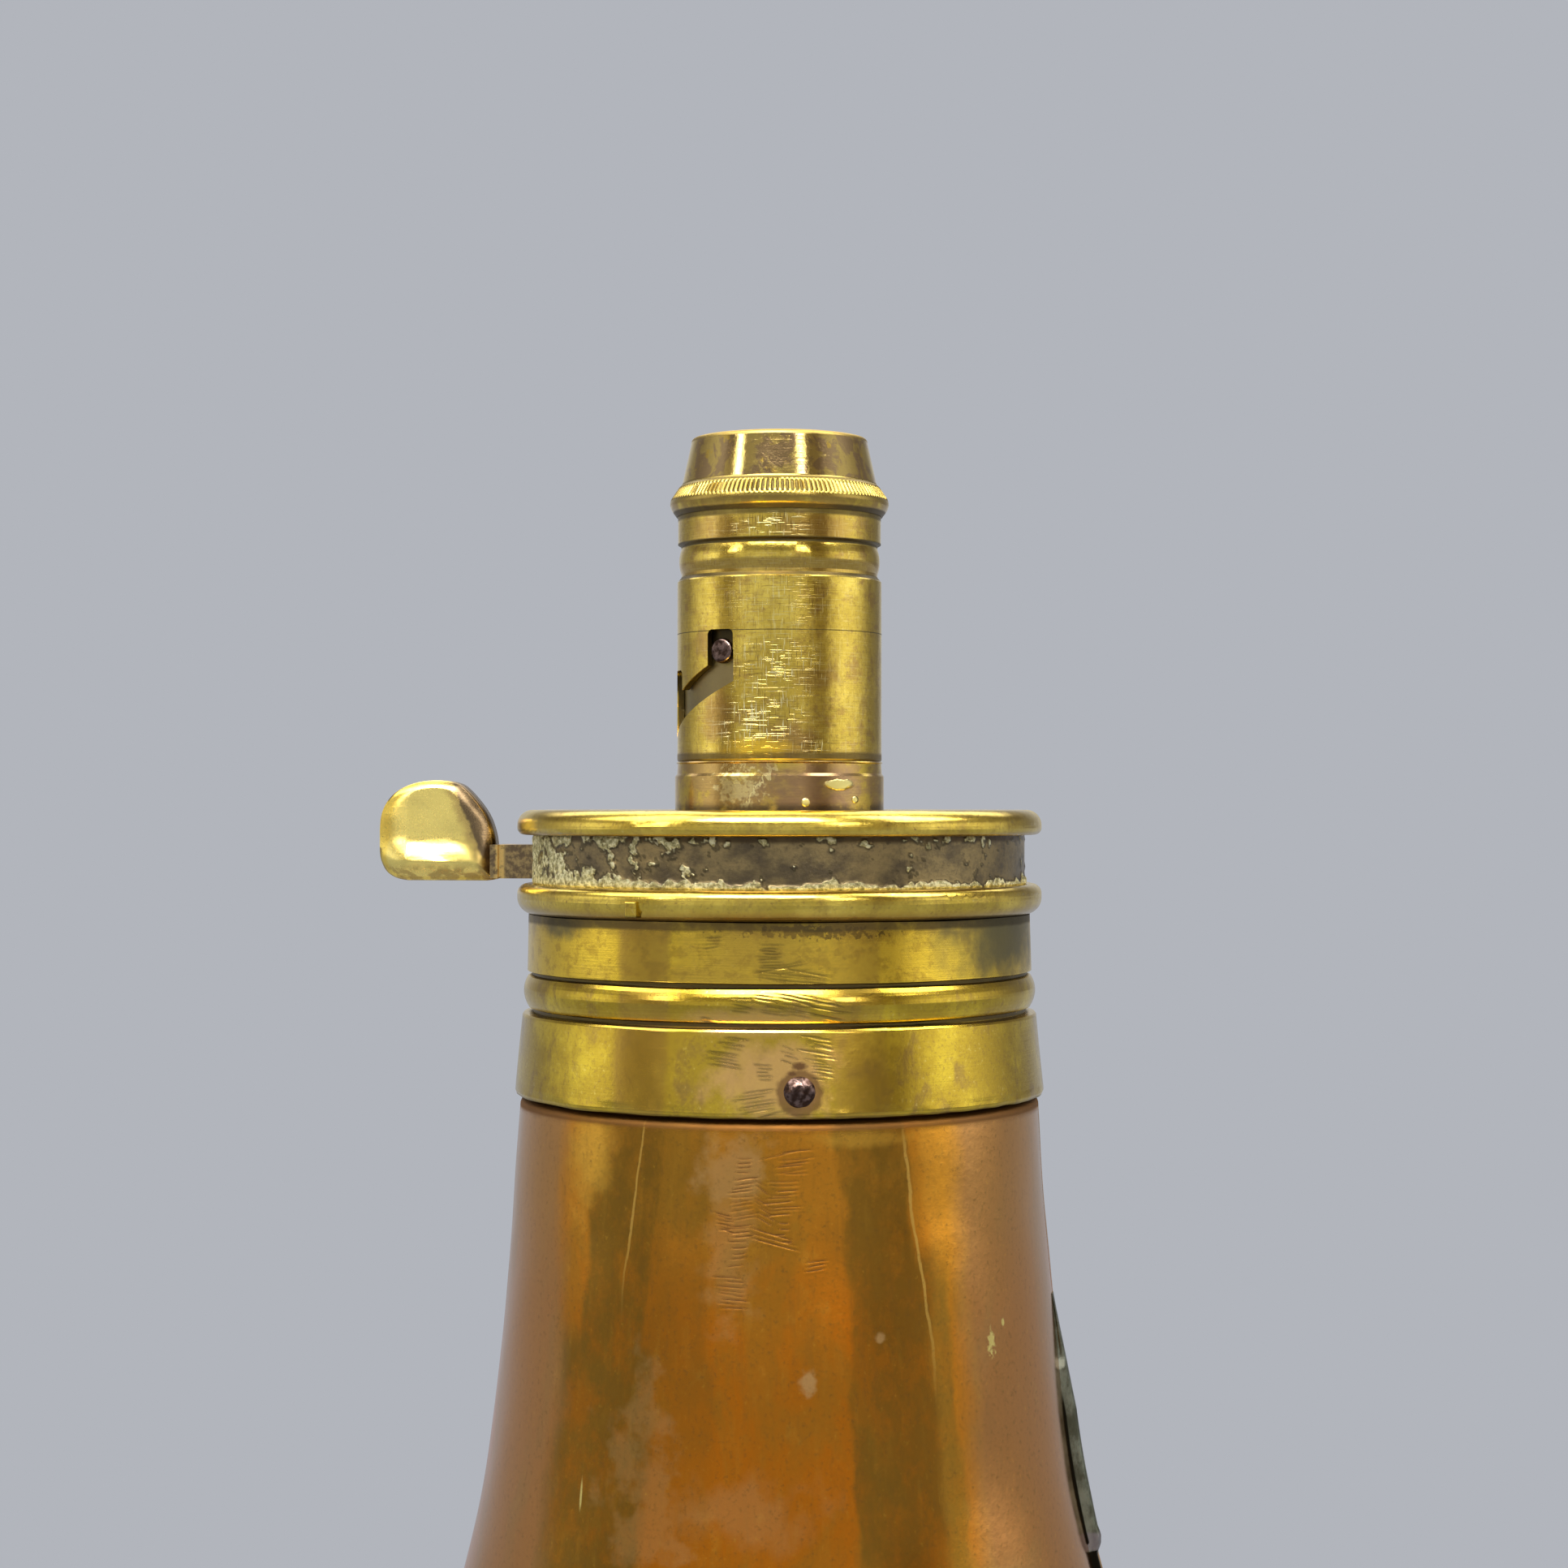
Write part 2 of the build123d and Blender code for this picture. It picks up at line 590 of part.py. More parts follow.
with BuildPart() as nozzle:
    with BuildSketch(upright_plane(PLATE_TOP)):
        with BuildLine():
            Polyline(
                (NOZZLE_BORE_R, SLEEVE_TOP - 0.9),
                (SLEEVE_BORE_R - 0.02, SLEEVE_TOP - 0.9),
                (SLEEVE_BORE_R - 0.02, SLEEVE_TOP),
                (7.6, SLEEVE_TOP),
                (MILLED_R - 0.1, 22.1),
            )
            ThreePointArc((MILLED_R - 0.1, 22.1), (MILLED_R, 22.5), (MILLED_R - 0.08, 22.9))
            Polyline((MILLED_R - 0.08, 22.9), (7.42, 23.75), (7.2, 23.95), (6.68, 26.3))
            ThreePointArc((6.68, 26.3), (6.42, 27.1), (5.95, NOZZLE_TOP))
            Polyline(
                (5.95, NOZZLE_TOP),
                (NOZZLE_BORE_R + 0.15, NOZZLE_TOP),
                (NOZZLE_BORE_R, NOZZLE_TOP - 0.15),
                (NOZZLE_BORE_R, SLEEVE_TOP - 0.9),
            )
        make_face()
    revolve(axis=Axis.Z)
finish_part(nozzle, "nozzle")
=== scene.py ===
import math

import bmesh
import bpy
import numpy as np
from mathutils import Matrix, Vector, noise


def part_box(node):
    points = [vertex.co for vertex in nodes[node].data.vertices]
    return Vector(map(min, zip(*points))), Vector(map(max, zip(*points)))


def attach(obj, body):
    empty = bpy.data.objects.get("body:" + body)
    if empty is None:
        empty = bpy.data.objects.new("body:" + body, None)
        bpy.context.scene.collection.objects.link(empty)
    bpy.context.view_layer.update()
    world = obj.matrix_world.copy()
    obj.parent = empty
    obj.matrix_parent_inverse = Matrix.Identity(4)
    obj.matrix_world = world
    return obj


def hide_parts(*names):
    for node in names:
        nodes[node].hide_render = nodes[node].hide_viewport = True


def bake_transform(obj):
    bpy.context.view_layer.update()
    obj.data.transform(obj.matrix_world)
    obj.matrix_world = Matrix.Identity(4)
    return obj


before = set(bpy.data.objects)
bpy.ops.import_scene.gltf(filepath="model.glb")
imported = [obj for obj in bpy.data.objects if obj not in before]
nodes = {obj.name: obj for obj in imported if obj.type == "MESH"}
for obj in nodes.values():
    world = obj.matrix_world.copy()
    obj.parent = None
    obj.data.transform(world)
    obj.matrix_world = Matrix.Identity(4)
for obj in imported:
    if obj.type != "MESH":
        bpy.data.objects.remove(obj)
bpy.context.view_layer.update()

# Sizes in this script are millimetres, and MM turns them into the frame's metres. Angles are polar angles
# about the spout's axis, in degrees from +X. The camera stands at VIEW_ANGLE.
MM = 0.001
VIEW_ANGLE = -81.0


def polar(angle, radius, height):
    """A point in the frame from a polar angle in degrees, and a radius and height in mm."""
    turn = math.radians(angle)
    return Vector((radius * math.cos(turn), radius * math.sin(turn), height)) * MM


PLATE_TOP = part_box("top_plate")[1].z / MM

# ---------------- camera, backdrop and light

EYE_DISTANCE = 212.4
EYE_ABOVE_PLATE = 0.65
LENS = 65.96
PITCH_UP = 0.34
YAW_RIGHT = 0.09
BACKDROP = (0.445, 0.462, 0.503)


def put(name, data):
    """A new object in the scene."""
    item = bpy.data.objects.new(name, data)
    bpy.context.scene.collection.objects.link(item)
    return item


def make_camera():
    camera = put("camera", bpy.data.cameras.new("camera"))
    camera.data.lens = LENS
    camera.data.sensor_width = 36.0
    camera.data.clip_start = 0.01
    camera.data.clip_end = 50.0
    camera.location = polar(VIEW_ANGLE, EYE_DISTANCE, PLATE_TOP + EYE_ABOVE_PLATE)
    heading = math.radians(VIEW_ANGLE + 90 - YAW_RIGHT)
    camera.rotation_euler = (math.radians(90 + PITCH_UP), 0, heading)
    bpy.context.scene.camera = camera


class Graph:
    """A node tree, with short calls for the nodes that the materials and the world share."""

    def __init__(self, tree):
        self.tree = tree
        tree.nodes.clear()

    def add(self, kind, *inputs, **settings):
        """A shader node of a kind. Inputs go to its sockets in order, and None leaves a socket alone."""
        node = self.tree.nodes.new("ShaderNode" + kind)
        for name, value in settings.items():
            setattr(node, name, value)
        for socket, value in zip(node.inputs, inputs):
            self.feed(socket, value)
        return node

    def feed(self, socket, value):
        """Links a socket or sets its value. A tuple is a colour."""
        if isinstance(value, bpy.types.NodeSocket):
            self.tree.links.new(value, socket)
        elif value is not None:
            socket.default_value = (*value, 1) if isinstance(value, tuple) else value

    def math(self, operation, *values):
        return self.add("Math", *values, operation=operation).outputs[0]

    def vector(self, operation, *values):
        return self.add("VectorMath", *values, operation=operation).outputs[0]

    def dot(self, a, b):
        return self.add("VectorMath", a, b, operation="DOT_PRODUCT").outputs["Value"]

    def step(self, value, low, high):
        """0 below low, 1 above high and smooth between. With low above high it falls instead."""
        return self.add("MapRange", value, low, high, 0, 1, interpolation_type="SMOOTHSTEP").outputs[0]

    def band(self, value, middle, half, soft):
        """1 within half of middle, falling to 0 over soft on both sides."""
        away = self.math("ABSOLUTE", self.math("SUBTRACT", value, middle))
        return self.step(away, half + soft, half)

    def mix(self, share, a, b):
        node = self.add("Mix", data_type="RGBA")
        for index, value in ((0, share), (6, a), (7, b)):
            self.feed(node.inputs[index], value)
        return node.outputs[2]

    def scaled(self, value, factor, offset):
        return self.math("MULTIPLY_ADD", value, factor, offset)

    def chain(self, operation, result, *values):
        for value in values:
            result = self.math(operation, result, value)
        return result

    def product(self, *values):
        return self.chain("MULTIPLY", *values)

    def total(self, *values):
        return self.chain("ADD", *values)

    def highest(self, *values):
        return self.chain("MAXIMUM", *values)

    def ramp(self, value, stops):
        node = self.add("ValToRGB", value)
        elements = node.color_ramp.elements
        while len(elements) < len(stops):
            elements.new(0.5)
        for element, (place, colour) in zip(elements, stops):
            element.position = place
            element.color = (*colour, 1)
        return node.outputs[0]


# What the metal reflects. ROOM gives the walls' brightness by bearing, in degrees from straight ahead of the
# camera and positive to its right, with a warmth from 0, grey, to 1, brown. Over the walls comes a dark gap,
# and over that the ceiling, each fading in between two elevations.
ROOM = [
    (-180, 0.62, 0), (-160, 0.55, 0), (-140, 0.34, 0.1), (-122, 0.38, 0.2), (-106, 0.74, 0.1),
    (-90, 1.2, 0), (-78, 1.32, 0), (-72, 0.66, 0.4), (-62, 0.4, 0.6), (-53, 0.42, 0.5),
    (-46, 0.72, 0.1), (-32, 0.76, 0), (-12, 0.68, 0), (4, 0.66, 0), (24, 0.78, 0.1),
    (31, 0.54, 0.4), (42, 0.31, 0.8), (54, 0.36, 0.7), (61, 0.9, 0.2), (74, 1.4, 0),
    (90, 1.32, 0), (104, 0.8, 0.1), (120, 0.34, 0.2), (145, 0.24, 0.2), (162, 0.5, 0),
    (180, 0.62, 0),
]
GAP, CEILING = (12, 20), (36, 52)
LAMPS = [   # bearing, half width, lowest and highest elevation, softness, strength
    (-54, 2.5, 16, 30, 3, 9),
    (28, 3, 16, 30, 3, 9),
    (-10, 30, 42, 62, 6, 20),
    (-80, 22, 37, 66, 6, 4),
    (80, 16, 37, 66, 6, 8),
    (180, 40, 35, 70, 10, 2.4),
    (-180, 40, 35, 70, 10, 2.4),
]


def make_world():
    """A soft studio: a plain backdrop for the camera, a room for reflections, and a calm dome for light."""
    world = bpy.data.worlds.new("studio")
    bpy.context.scene.world = world
    world.use_nodes = True
    graph = Graph(world.node_tree)
    direction = graph.add("TexCoord").outputs["Generated"]
    front = polar(VIEW_ANGLE, 1, 0).normalized()
    right = Vector((-front.y, front.x, 0))
    turn = graph.math("ARCTAN2", graph.dot(direction, right), graph.dot(direction, front))
    bearing = graph.math("DEGREES", turn)
    up = graph.dot(direction, Vector((0, 0, 1)))
    elevation = graph.math("DEGREES", graph.math("ARCSINE", up))

    warm = Vector((1, 0.8, 0.55))
    stops = [
        ((angle + 180) / 360, tuple(level * (1 - w + w * c) for c in warm))
        for angle, level, w in ROOM
    ]
    room = graph.ramp(graph.scaled(bearing, 1 / 360, 0.5), stops)
    colour = graph.mix(graph.product(graph.step(elevation, *GAP), 0.62), room, (0.16, 0.13, 0.1))
    colour = graph.mix(graph.step(elevation, *CEILING), colour, (0.74, 0.74, 0.74))
    walls = graph.add("Background", colour, 1)
    glow = graph.total(*(
        graph.product(
            graph.band(bearing, angle, half, soft),
            graph.band(elevation, (low + high) / 2, (high - low) / 2, soft),
            strength,
        )
        for angle, half, low, high, soft, strength in LAMPS
    ))
    lamps = graph.add("Background", (1, 0.98, 0.94), glow)
    reflected = graph.add("AddShader", lamps.outputs[0], walls.outputs[0])

    dome = graph.scaled(graph.step(up, -0.2, 0.9), 0.55, 0.5)
    light = graph.add("Background", (1, 0.99, 0.97), dome)
    plain = graph.add("Background", BACKDROP, 1)
    path = graph.add("LightPath").outputs
    seen = graph.add("MixShader", path["Is Glossy Ray"], light.outputs[0], reflected.outputs[0])
    seen = graph.add("MixShader", path["Is Camera Ray"], seen.outputs[0], plain.outputs[0])
    graph.add("OutputWorld", seen.outputs[0])


def make_floor():
    """A pale floor, in metres, that fades into the backdrop's own colour away from the object."""
    size = 6.0
    mesh = bpy.data.meshes.new("floor")
    corners = [(-size, -size, 0), (size, -size, 0), (size, size, 0), (-size, size, 0)]
    mesh.from_pydata(corners, [], [(0, 1, 2, 3)])
    floor = put("floor", mesh)
    material = bpy.data.materials.new("floor")
    material.use_nodes = True
    graph = Graph(material.node_tree)
    place = graph.add("TexCoord").outputs["Object"]
    distance = graph.add("VectorMath", place, operation="LENGTH").outputs["Value"]
    matte = graph.add("BsdfDiffuse", (0.62, 0.64, 0.68), 0.5)
    far = graph.add("Emission", BACKDROP, 1)
    fade = graph.step(distance, 0.1, 0.42)
    surface = graph.add("MixShader", fade, matte.outputs[0], far.outputs[0])
    graph.add("OutputMaterial", surface.outputs[0])
    mesh.materials.append(material)


make_camera()
make_world()
make_floor()
bpy.context.scene.view_settings.view_transform = "Standard"

# ---------------- materials


class Finish(Graph):
    """A metal's material: its colour and roughness so far, and masks for what has happened to its surface.

    Places are in mm, angles are polar angles in degrees, and heights are counted from the plate's top."""

    def __init__(self, name):
        self.material = bpy.data.materials.new(name)
        self.material.use_nodes = True
        super().__init__(self.material.node_tree)
        place = self.add("TexCoord").outputs["Object"]
        self.place = self.vector("MULTIPLY", place, Vector((1, 1, 1)) / MM)
        self.height = self.math("SUBTRACT", self.along(0, 0, 1), PLATE_TOP)
        self.shader = self.add("BsdfPrincipled")
        self.shader.inputs["Metallic"].default_value = 1.0
        self.add("OutputMaterial", self.shader.outputs[0])
        self.colour = self.rough = self.relief = None

    def along(self, x, y, z):
        """How far a place lies along a direction."""
        return self.dot(self.place, Vector((x, y, z)))

    def noise(self, size, stretch=(1, 1, 1), detail=3, rough=0.55, twist=0):
        """Noise with features about size mm across, stretched along the axes by the given factors."""
        scale = Vector([1 / (size * s) for s in stretch])
        node = self.add("TexNoise", noise_dimensions="3D")
        self.feed(node.inputs["Vector"], self.vector("MULTIPLY", self.place, scale))
        for name, value in (("Scale", 1), ("Detail", detail), ("Roughness", rough), ("Distortion", twist)):
            node.inputs[name].default_value = value
        return node.outputs["Fac"]

    def turn(self, angle):
        """How far a place lies round the axis from an angle, in radians."""
        outward = polar(angle, 1, 0).normalized()
        return self.math("ARCTAN2", self.along(-outward.y, outward.x, 0), self.along(*outward))

    def spot(
        self, radius, angle, height, half_width, half_height, size=1.6, strength=None, ragged=0.35, soft=0.5
    ):
        """A spot on a surface of a radius, with an edge made ragged by noise of a size."""
        u = self.math("MULTIPLY", self.turn(angle), radius / half_width)
        v = self.scaled(self.height, 1 / half_height, -height / half_height)
        away = self.math("SQRT", self.total(self.product(u, u), self.product(v, v)))
        away = self.total(away, self.scaled(self.noise(size, detail=4), 4 * ragged, -2 * ragged))
        return self.weakened(self.step(away, 1 + soft, 1 - soft), strength)

    def weakened(self, mask, strength):
        return mask if strength is None else self.product(mask, strength)

    def spots(self, radius, *rows):
        return self.highest(*(self.spot(radius, *row) for row in rows))

    def stripe(self, top, bottom, half_width, soft, ragged=1, size=3, strength=None, radius=20):
        """A ragged upright stripe between two (angle, height) ends."""
        place = self.math("MULTIPLY", self.turn(VIEW_ANGLE), radius)
        ends = [math.radians(angle - VIEW_ANGLE) * radius for angle, _ in (top, bottom)]
        middle = self.add("MapRange", self.height, top[1], bottom[1], *ends).outputs[0]
        torn = self.scaled(self.noise(size, (1, 1, 1.6), 5), ragged, place)
        side = self.band(self.math("SUBTRACT", torn, ragged / 2), middle, half_width, soft)
        fade = min(14, 0.35 * (top[1] - bottom[1]))
        below_top = self.step(self.height, top[1] + 1.5, top[1] - 1.5)
        above_bottom = self.step(self.height, bottom[1] - fade, bottom[1] + fade)
        return self.weakened(self.product(side, self.product(below_top, above_bottom)), strength)

    def stripes(self, *rows):
        return self.highest(*(self.stripe(*row) for row in rows))

    def line(self, height, half, soft=0.08, wander=0, strength=None):
        """A thin ring round the part."""
        level = self.height
        if wander:
            level = self.scaled(self.noise(5), 2 * wander, level)
            level = self.math("SUBTRACT", level, wander)
        return self.weakened(self.band(level, height, half, soft), strength)

    def lines(self, *rows):
        return self.highest(*(self.line(*row) for row in rows))

    def value(self, name):
        """A number that the piece's mesh gives at its points."""
        return self.add("Attribute", attribute_name=name).outputs["Fac"]

    def stain(self, paint, *masks):
        """Lays a colour over the one so far, as far as the product of the masks goes."""
        self.colour = self.mix(self.product(*masks), self.colour, paint)

    def bump(self, value, depth):
        """Adds relief of a depth to the surface."""
        node = self.add("Bump")
        node.inputs["Strength"].default_value = 1.0
        node.inputs["Distance"].default_value = depth * MM
        self.feed(node.inputs["Height"], value)
        if self.relief is not None:
            self.feed(node.inputs["Normal"], self.relief)
        self.relief = node.outputs[0]

    def done(self):
        self.feed(self.shader.inputs["Base Color"], self.colour)
        self.feed(self.shader.inputs["Roughness"], self.rough)
        self.feed(self.shader.inputs["Normal"], self.relief)
        return self.material


GOLD = (0.86, 0.645, 0.115)
OLIVE = (0.6, 0.43, 0.065)
BROWN = (0.3, 0.18, 0.06)
# The next colour, near black, paints shade in grooves, joints and under edges, and dirt at the tube's foot.
SHADE_AND_GRIME = (0.05, 0.04, 0.025)
SLEEVE_R, TUBE_R, NECK_BAND_R, SKIRT_R = 7.5, 7.7, 18.6, 19.2


def brass(name, bright=GOLD, dull=OLIVE, roughness=0.13, wear=0.5, cloud_size=5, film=0.5, detail=None):
    """Old brass: bright where hands rub it and dull elsewhere, with brown film, specks and turning marks.

    detail(finish) adds what only this piece has."""
    f = Finish(name)
    clouds = f.noise(cloud_size, detail=5, rough=0.6)
    smudges = f.noise(cloud_size * 0.4, (1, 1, 1.5), 6, 0.65, 0.4)
    streaks = f.noise(0.5, (1, 1, 10))
    fine = f.noise(0.3, detail=4, rough=0.7)
    f.colour = f.mix(f.step(clouds, 0.35 + 0.2 * (1 - wear), 0.7), dull, bright)
    f.stain(dull, f.step(streaks, 0.5, 0.68), 0.3)
    f.stain(BROWN, f.step(smudges, 0.52, 0.68), film)
    f.stain(BROWN, f.step(fine, 0.5, 0.74), 0.5)
    f.stain((0.98, 0.82, 0.3), f.step(fine, 0.42, 0.26), 0.35)
    f.rough = f.scaled(f.total(clouds, fine), 0.14, roughness - 0.14)
    f.bump(f.noise(0.1, (60, 60, 1), 2), 0.004)
    f.bump(fine, 0.007)
    if detail:
        detail(f)
    return f.done()


def sleeve_detail(f):
    """The measuring sleeve: a net of fine scratches in front, painted pale there as painted highlight, a
    rubbed gold patch, and painted shade in its grooves and joints and on the slot's cut face.
    """
    rings = f.noise(0.07, (26, 26, 1), 1)
    lines = f.noise(0.09, (1, 1, 14), 1)
    net = f.highest(f.step(rings, 0.6, 0.68), f.step(lines, 0.61, 0.7))
    dark_net = f.highest(f.step(rings, 0.4, 0.32), f.step(lines, 0.38, 0.3))
    front = f.spots(
        SLEEVE_R, (-92, 6, 2.9, 2.2, 0.8), (-84, 10.2, 3.2, 2.2, 0.8, 0.75),
        (-85, 20.4, 2.6, 0.8, 0.8, 1), (-80, 15, 4, 2, 0.8, 0.35), (-62, 4.6, 1.4, 0.5, 0.5, 0.9),
    )
    stained = f.highest(
        f.spots(
            SLEEVE_R, (-76, 4.9, 2, 1.3, 1, 0.85), (-60, 20.3, 3.2, 1, 1.2, 0.7),
            (-120, 20.3, 2.6, 1, 1.2, 0.7), (-118, 6.8, 1.4, 2, 1, 0.8),
            (-126, 12, 1.2, 0.9, 0.8, 0.6), (-60, 9.4, 1.6, 0.8, 0.8, 0.5),
        ),
        f.product(f.step(f.noise(1.6, (1.6, 1.6, 1), 6, 0.7), 0.53, 0.66), 0.65),
        f.line(17.6, 0.3, 0.35, 0, 0.6), f.product(f.step(f.height, 4.6, 3.9), 0.5),
    )
    f.stain((0.36, 0.2, 0.07), stained, 0.85)
    # Painted highlight: the scratches are real, and their pale colour in front stands in for their glints.
    f.stain((1, 0.92, 0.52), net, f.scaled(front, 0.75, 0.1))
    f.stain((0.2, 0.12, 0.03), dark_net, f.scaled(front, 0.66, 0.18))
    f.stain((0.95, 0.6, 0.05), f.spot(SLEEVE_R, -93, 4.4, 2.2, 0.7, 0.7), 0.8)
    # Painted shade: the slot's cut face is painted dark as its shadow, and dark lines in the grooves and at
    # the sleeve's joints stand in for their shade.
    flat = f.vector("MULTIPLY", f.place, Vector((1, 1, 0)))
    away = f.add("VectorMath", flat, operation="LENGTH").outputs["Value"]
    cut_face = f.product(f.step(away, SLEEVE_R, SLEEVE_R - 0.06), f.step(f.height, 14, 13.9))
    shade_and_grime = f.lines(
        (16.98, 0.08, 0.12, 0.02), (19.42, 0.11, 0.14, 0.03), (12.92, 0.012, 0.035),
        (3.75, 0.25, 0.25, 0.15, 0.7), (21.45, 0.12, 0.2, 0.05, 0.8),
    )
    shade_and_grime = f.highest(shade_and_grime, cut_face)
    f.stain(SHADE_AND_GRIME, shade_and_grime, 0.9)
    f.bump(f.product(net, front), 0.005)
    f.bump(f.noise(1.4, detail=2), 0.03)
    f.rough = f.total(f.rough, f.product(shade_and_grime, 0.3))


def tube_detail(f):
    """The tube's foot: brown to its right, with a bright scratch, pale spots and dirt near the plate."""
    brown = f.noise(1.8, (1.4, 1.4, 1), 6, 0.65)
    f.stain((0.42, 0.26, 0.1), f.step(brown, 0.38, 0.52), 0.8)
    f.stain((0.33, 0.2, 0.12), f.spot(TUBE_R, -62, 1.4, 4.2, 2, 1.2, 0.7, soft=0.4))
    scratch = f.stripe((-85, 2.9), (-101, 0.1), 0.07, 0.09, 2.4, 0.5, 0.75, TUBE_R)
    f.stain((1, 0.86, 0.4), f.highest(scratch, f.spot(TUBE_R, -104, 1.7, 1.3, 1.1, 0.35, 0.45, 1.4)))
    pale = f.spots(
        TUBE_R, (-47, 1.85, 1.25, 0.36, 0.8, None, 0.25, 0.25), (-67, 0.55, 0.3, 0.28, 1.6, None, 0.1, 0.25),
        (-36, 0.75, 0.3, 0.22, 1.6, None, 0.1, 0.25),
    )
    f.stain((0.74, 0.68, 0.28), pale)
    f.bump(pale, 0.05)
    # Painted shade: the tube is painted darker where it stands inside the sleeve and shows only through the
    # slot, and near black higher up.
    inside = f.step(f.height, 3.5, 3.7)
    f.stain((0.17, 0.15, 0.08), inside, 0.75)
    f.stain((0.02, 0.015, 0.008), f.step(f.height, 11.3, 12.3), 0.9)
    f.stain(SHADE_AND_GRIME, f.step(f.height, 0.7, 0.05), f.step(brown, 0.3, 0.5), 0.8)
    f.rough = f.total(f.rough, f.product(f.highest(pale, inside), 0.25))


def nozzle_detail(f):
    """The nozzle: a purple-brown film in blotches on its cone, a duller ring and lip, and painted shade on
    the ring's lower slope, under the ring, at the cone's foot and in its milled ribs.
    """
    cone = f.product(f.step(f.height, 23.8, 24.1), f.step(f.height, 27.3, 27))
    film = f.noise(1.8, (1, 1, 1.3), 5, 0.6, 0.6)
    f.stain((0.7, 0.53, 0.19), cone, 0.75)
    f.stain((0.44, 0.3, 0.17), cone, f.step(film, 0.46, 0.54), 0.8)
    f.stain((0.78, 0.55, 0.1), cone, f.step(f.noise(1.1, detail=4), 0.6, 0.68), 0.8)
    ring = f.band(f.height, 23.2, 0.75, 0.2)
    f.stain((0.4, 0.29, 0.07), ring, 0.85)
    # Painted shade: the ring's downward slope is painted browner in patches, and dark lines under the ring,
    # at the cone's foot and in the milled ribs stand in for their shade.
    f.stain((0.36, 0.22, 0.06), f.step(f.height, 22.7, 22.3), f.step(film, 0.3, 0.5), 0.75)
    shade_and_grime = f.highest(f.lines((21.72, 0.14, 0.14, 0.05), (23.9, 0.06, 0.08, 0, 0.6)), f.value("cut"))
    f.stain(SHADE_AND_GRIME, shade_and_grime, 0.85)
    lip = f.step(f.height, 27, 27.15)
    f.stain((0.36, 0.25, 0.07), lip, 0.8)
    rim = f.highest(lip, f.product(ring, 0.5))
    f.rough = f.scaled(f.total(shade_and_grime, rim), 0.3, f.math("SUBTRACT", f.rough, f.product(cone, 0.03)))


def collar_detail(f):
    """The collar: pinkish where it is rubbed round its screw and brown under the flange, with painted light
    above its groove, painted reflections in upright stripes, and painted shade in its grooves, chatter marks
    and foot and under the flange.
    """
    # Painted light: the band above the groove is painted lighter, making up for the shade the flange casts on
    # it.
    above_groove = f.step(f.height, -12, -11.8)
    f.stain((1, 0.68, 0.06), above_groove, 0.6)
    f.stain((0.36, 0.21, 0.03), above_groove, f.step(f.noise(1.4, (1, 1, 0.8), 5, 0.7), 0.48, 0.62), 0.45)
    patina = f.noise(2.5, (1, 1, 0.8), 5, 0.65)
    f.stain((0.2, 0.12, 0.03), f.step(f.height, -9.3, -7.7), f.step(patina, 0.36, 0.54), 0.75)
    green = f.spots(
        NECK_BAND_R, (-20, -8.6, 7, 2.8, 2.5, 0.95, 0.35, 0.6), (-138, -8.1, 2.2, 0.9, 1, 0.8)
    )
    f.stain((0.15, 0.13, 0.06), green)
    f.stain((0.05, 0.03, 0.015), f.spot(NECK_BAND_R, -74, -8.2, 3.4, 0.35, 0.35, 0.85, 1.6, 0.3))
    # Painted reflection: dark upright stripes and patches where the polished collar reflects the room's
    # darker walls.
    dark = f.highest(
        f.stripe((-111, -6), (-111, -24), 1.7, 0.8, 1.4, 3, 0.65),
        f.stripe((-66, -6), (-63, -24), 1.6, 0.7, 1.4, 3, 0.45),
        f.spot(18.5, -84, -9.6, 5, 2.4, 1.4, 0.55, soft=0.7),
        f.spot(18.5, -96, -11.2, 7, 0.7, 1.4, 0.5, soft=0.7),
    )
    f.stain((0.42, 0.26, 0.055), dark)
    rubbed = f.highest(
        f.spot(SKIRT_R, -82, -18.2, 3.9, 2.5, 1.6, None, 0.5),
        f.spot(NECK_BAND_R, -86, -14.3, 4.5, 0.8, 1.4, 0.7, soft=0.6),
    )
    f.stain((0.78, 0.47, 0.17), rubbed, 0.8)
    rust = f.spots(
        SKIRT_R, (-77, -17.2, 0.5, 0.25, 0.4), (-78.5, -17.7, 0.35, 0.2, 0.4),
        (-77, -19, 1.55, 1.55, 0.6, 0.8, 0.1, 0.12),
    )
    f.stain((0.14, 0.06, 0.03), rust, 0.85)
    # Painted shade: dark lines in the grooves, at the collar's foot and under the flange's edge, and in the
    # chatter marks.
    shade_and_grime = f.lines(
        (-11.9, 0.09, 0.1, 0.03), (-14.55, 0.1, 0.12, 0.04), (-20.75, 0.12, 0.1, 0.06, 0.6),
        (-7.75, 0.3, 0.25, 0.15, 0.8),
    )
    shade_and_grime = f.highest(shade_and_grime, f.product(f.value("cut"), 0.8))
    f.stain(SHADE_AND_GRIME, shade_and_grime, 0.88)
    f.rough = f.scaled(f.total(shade_and_grime, green), 0.22, f.rough)


def rim_detail(f):
    """The plate's and the flange's rims: worn bright, with dark specks, and painted shade at their lower
    corners.
    """
    f.stain((0.3, 0.17, 0.06), f.step(f.noise(0.35, rough=0.7), 0.62, 0.74), 0.8)
    f.bump(f.noise(2.4, (1.6, 1.6, 1), 2), 0.05)
    flange = f.step(f.height, -5, -5.2)
    # Painted shade on the lower corners of the plate's and the flange's rims.
    under_plate = f.product(f.step(f.height, -1.4, -1.75), f.math("SUBTRACT", 1, flange))
    under_flange = f.product(flange, f.step(f.height, -6.6, -7.4))
    f.stain((0.2, 0.11, 0.04), f.highest(under_plate, under_flange), 0.6)


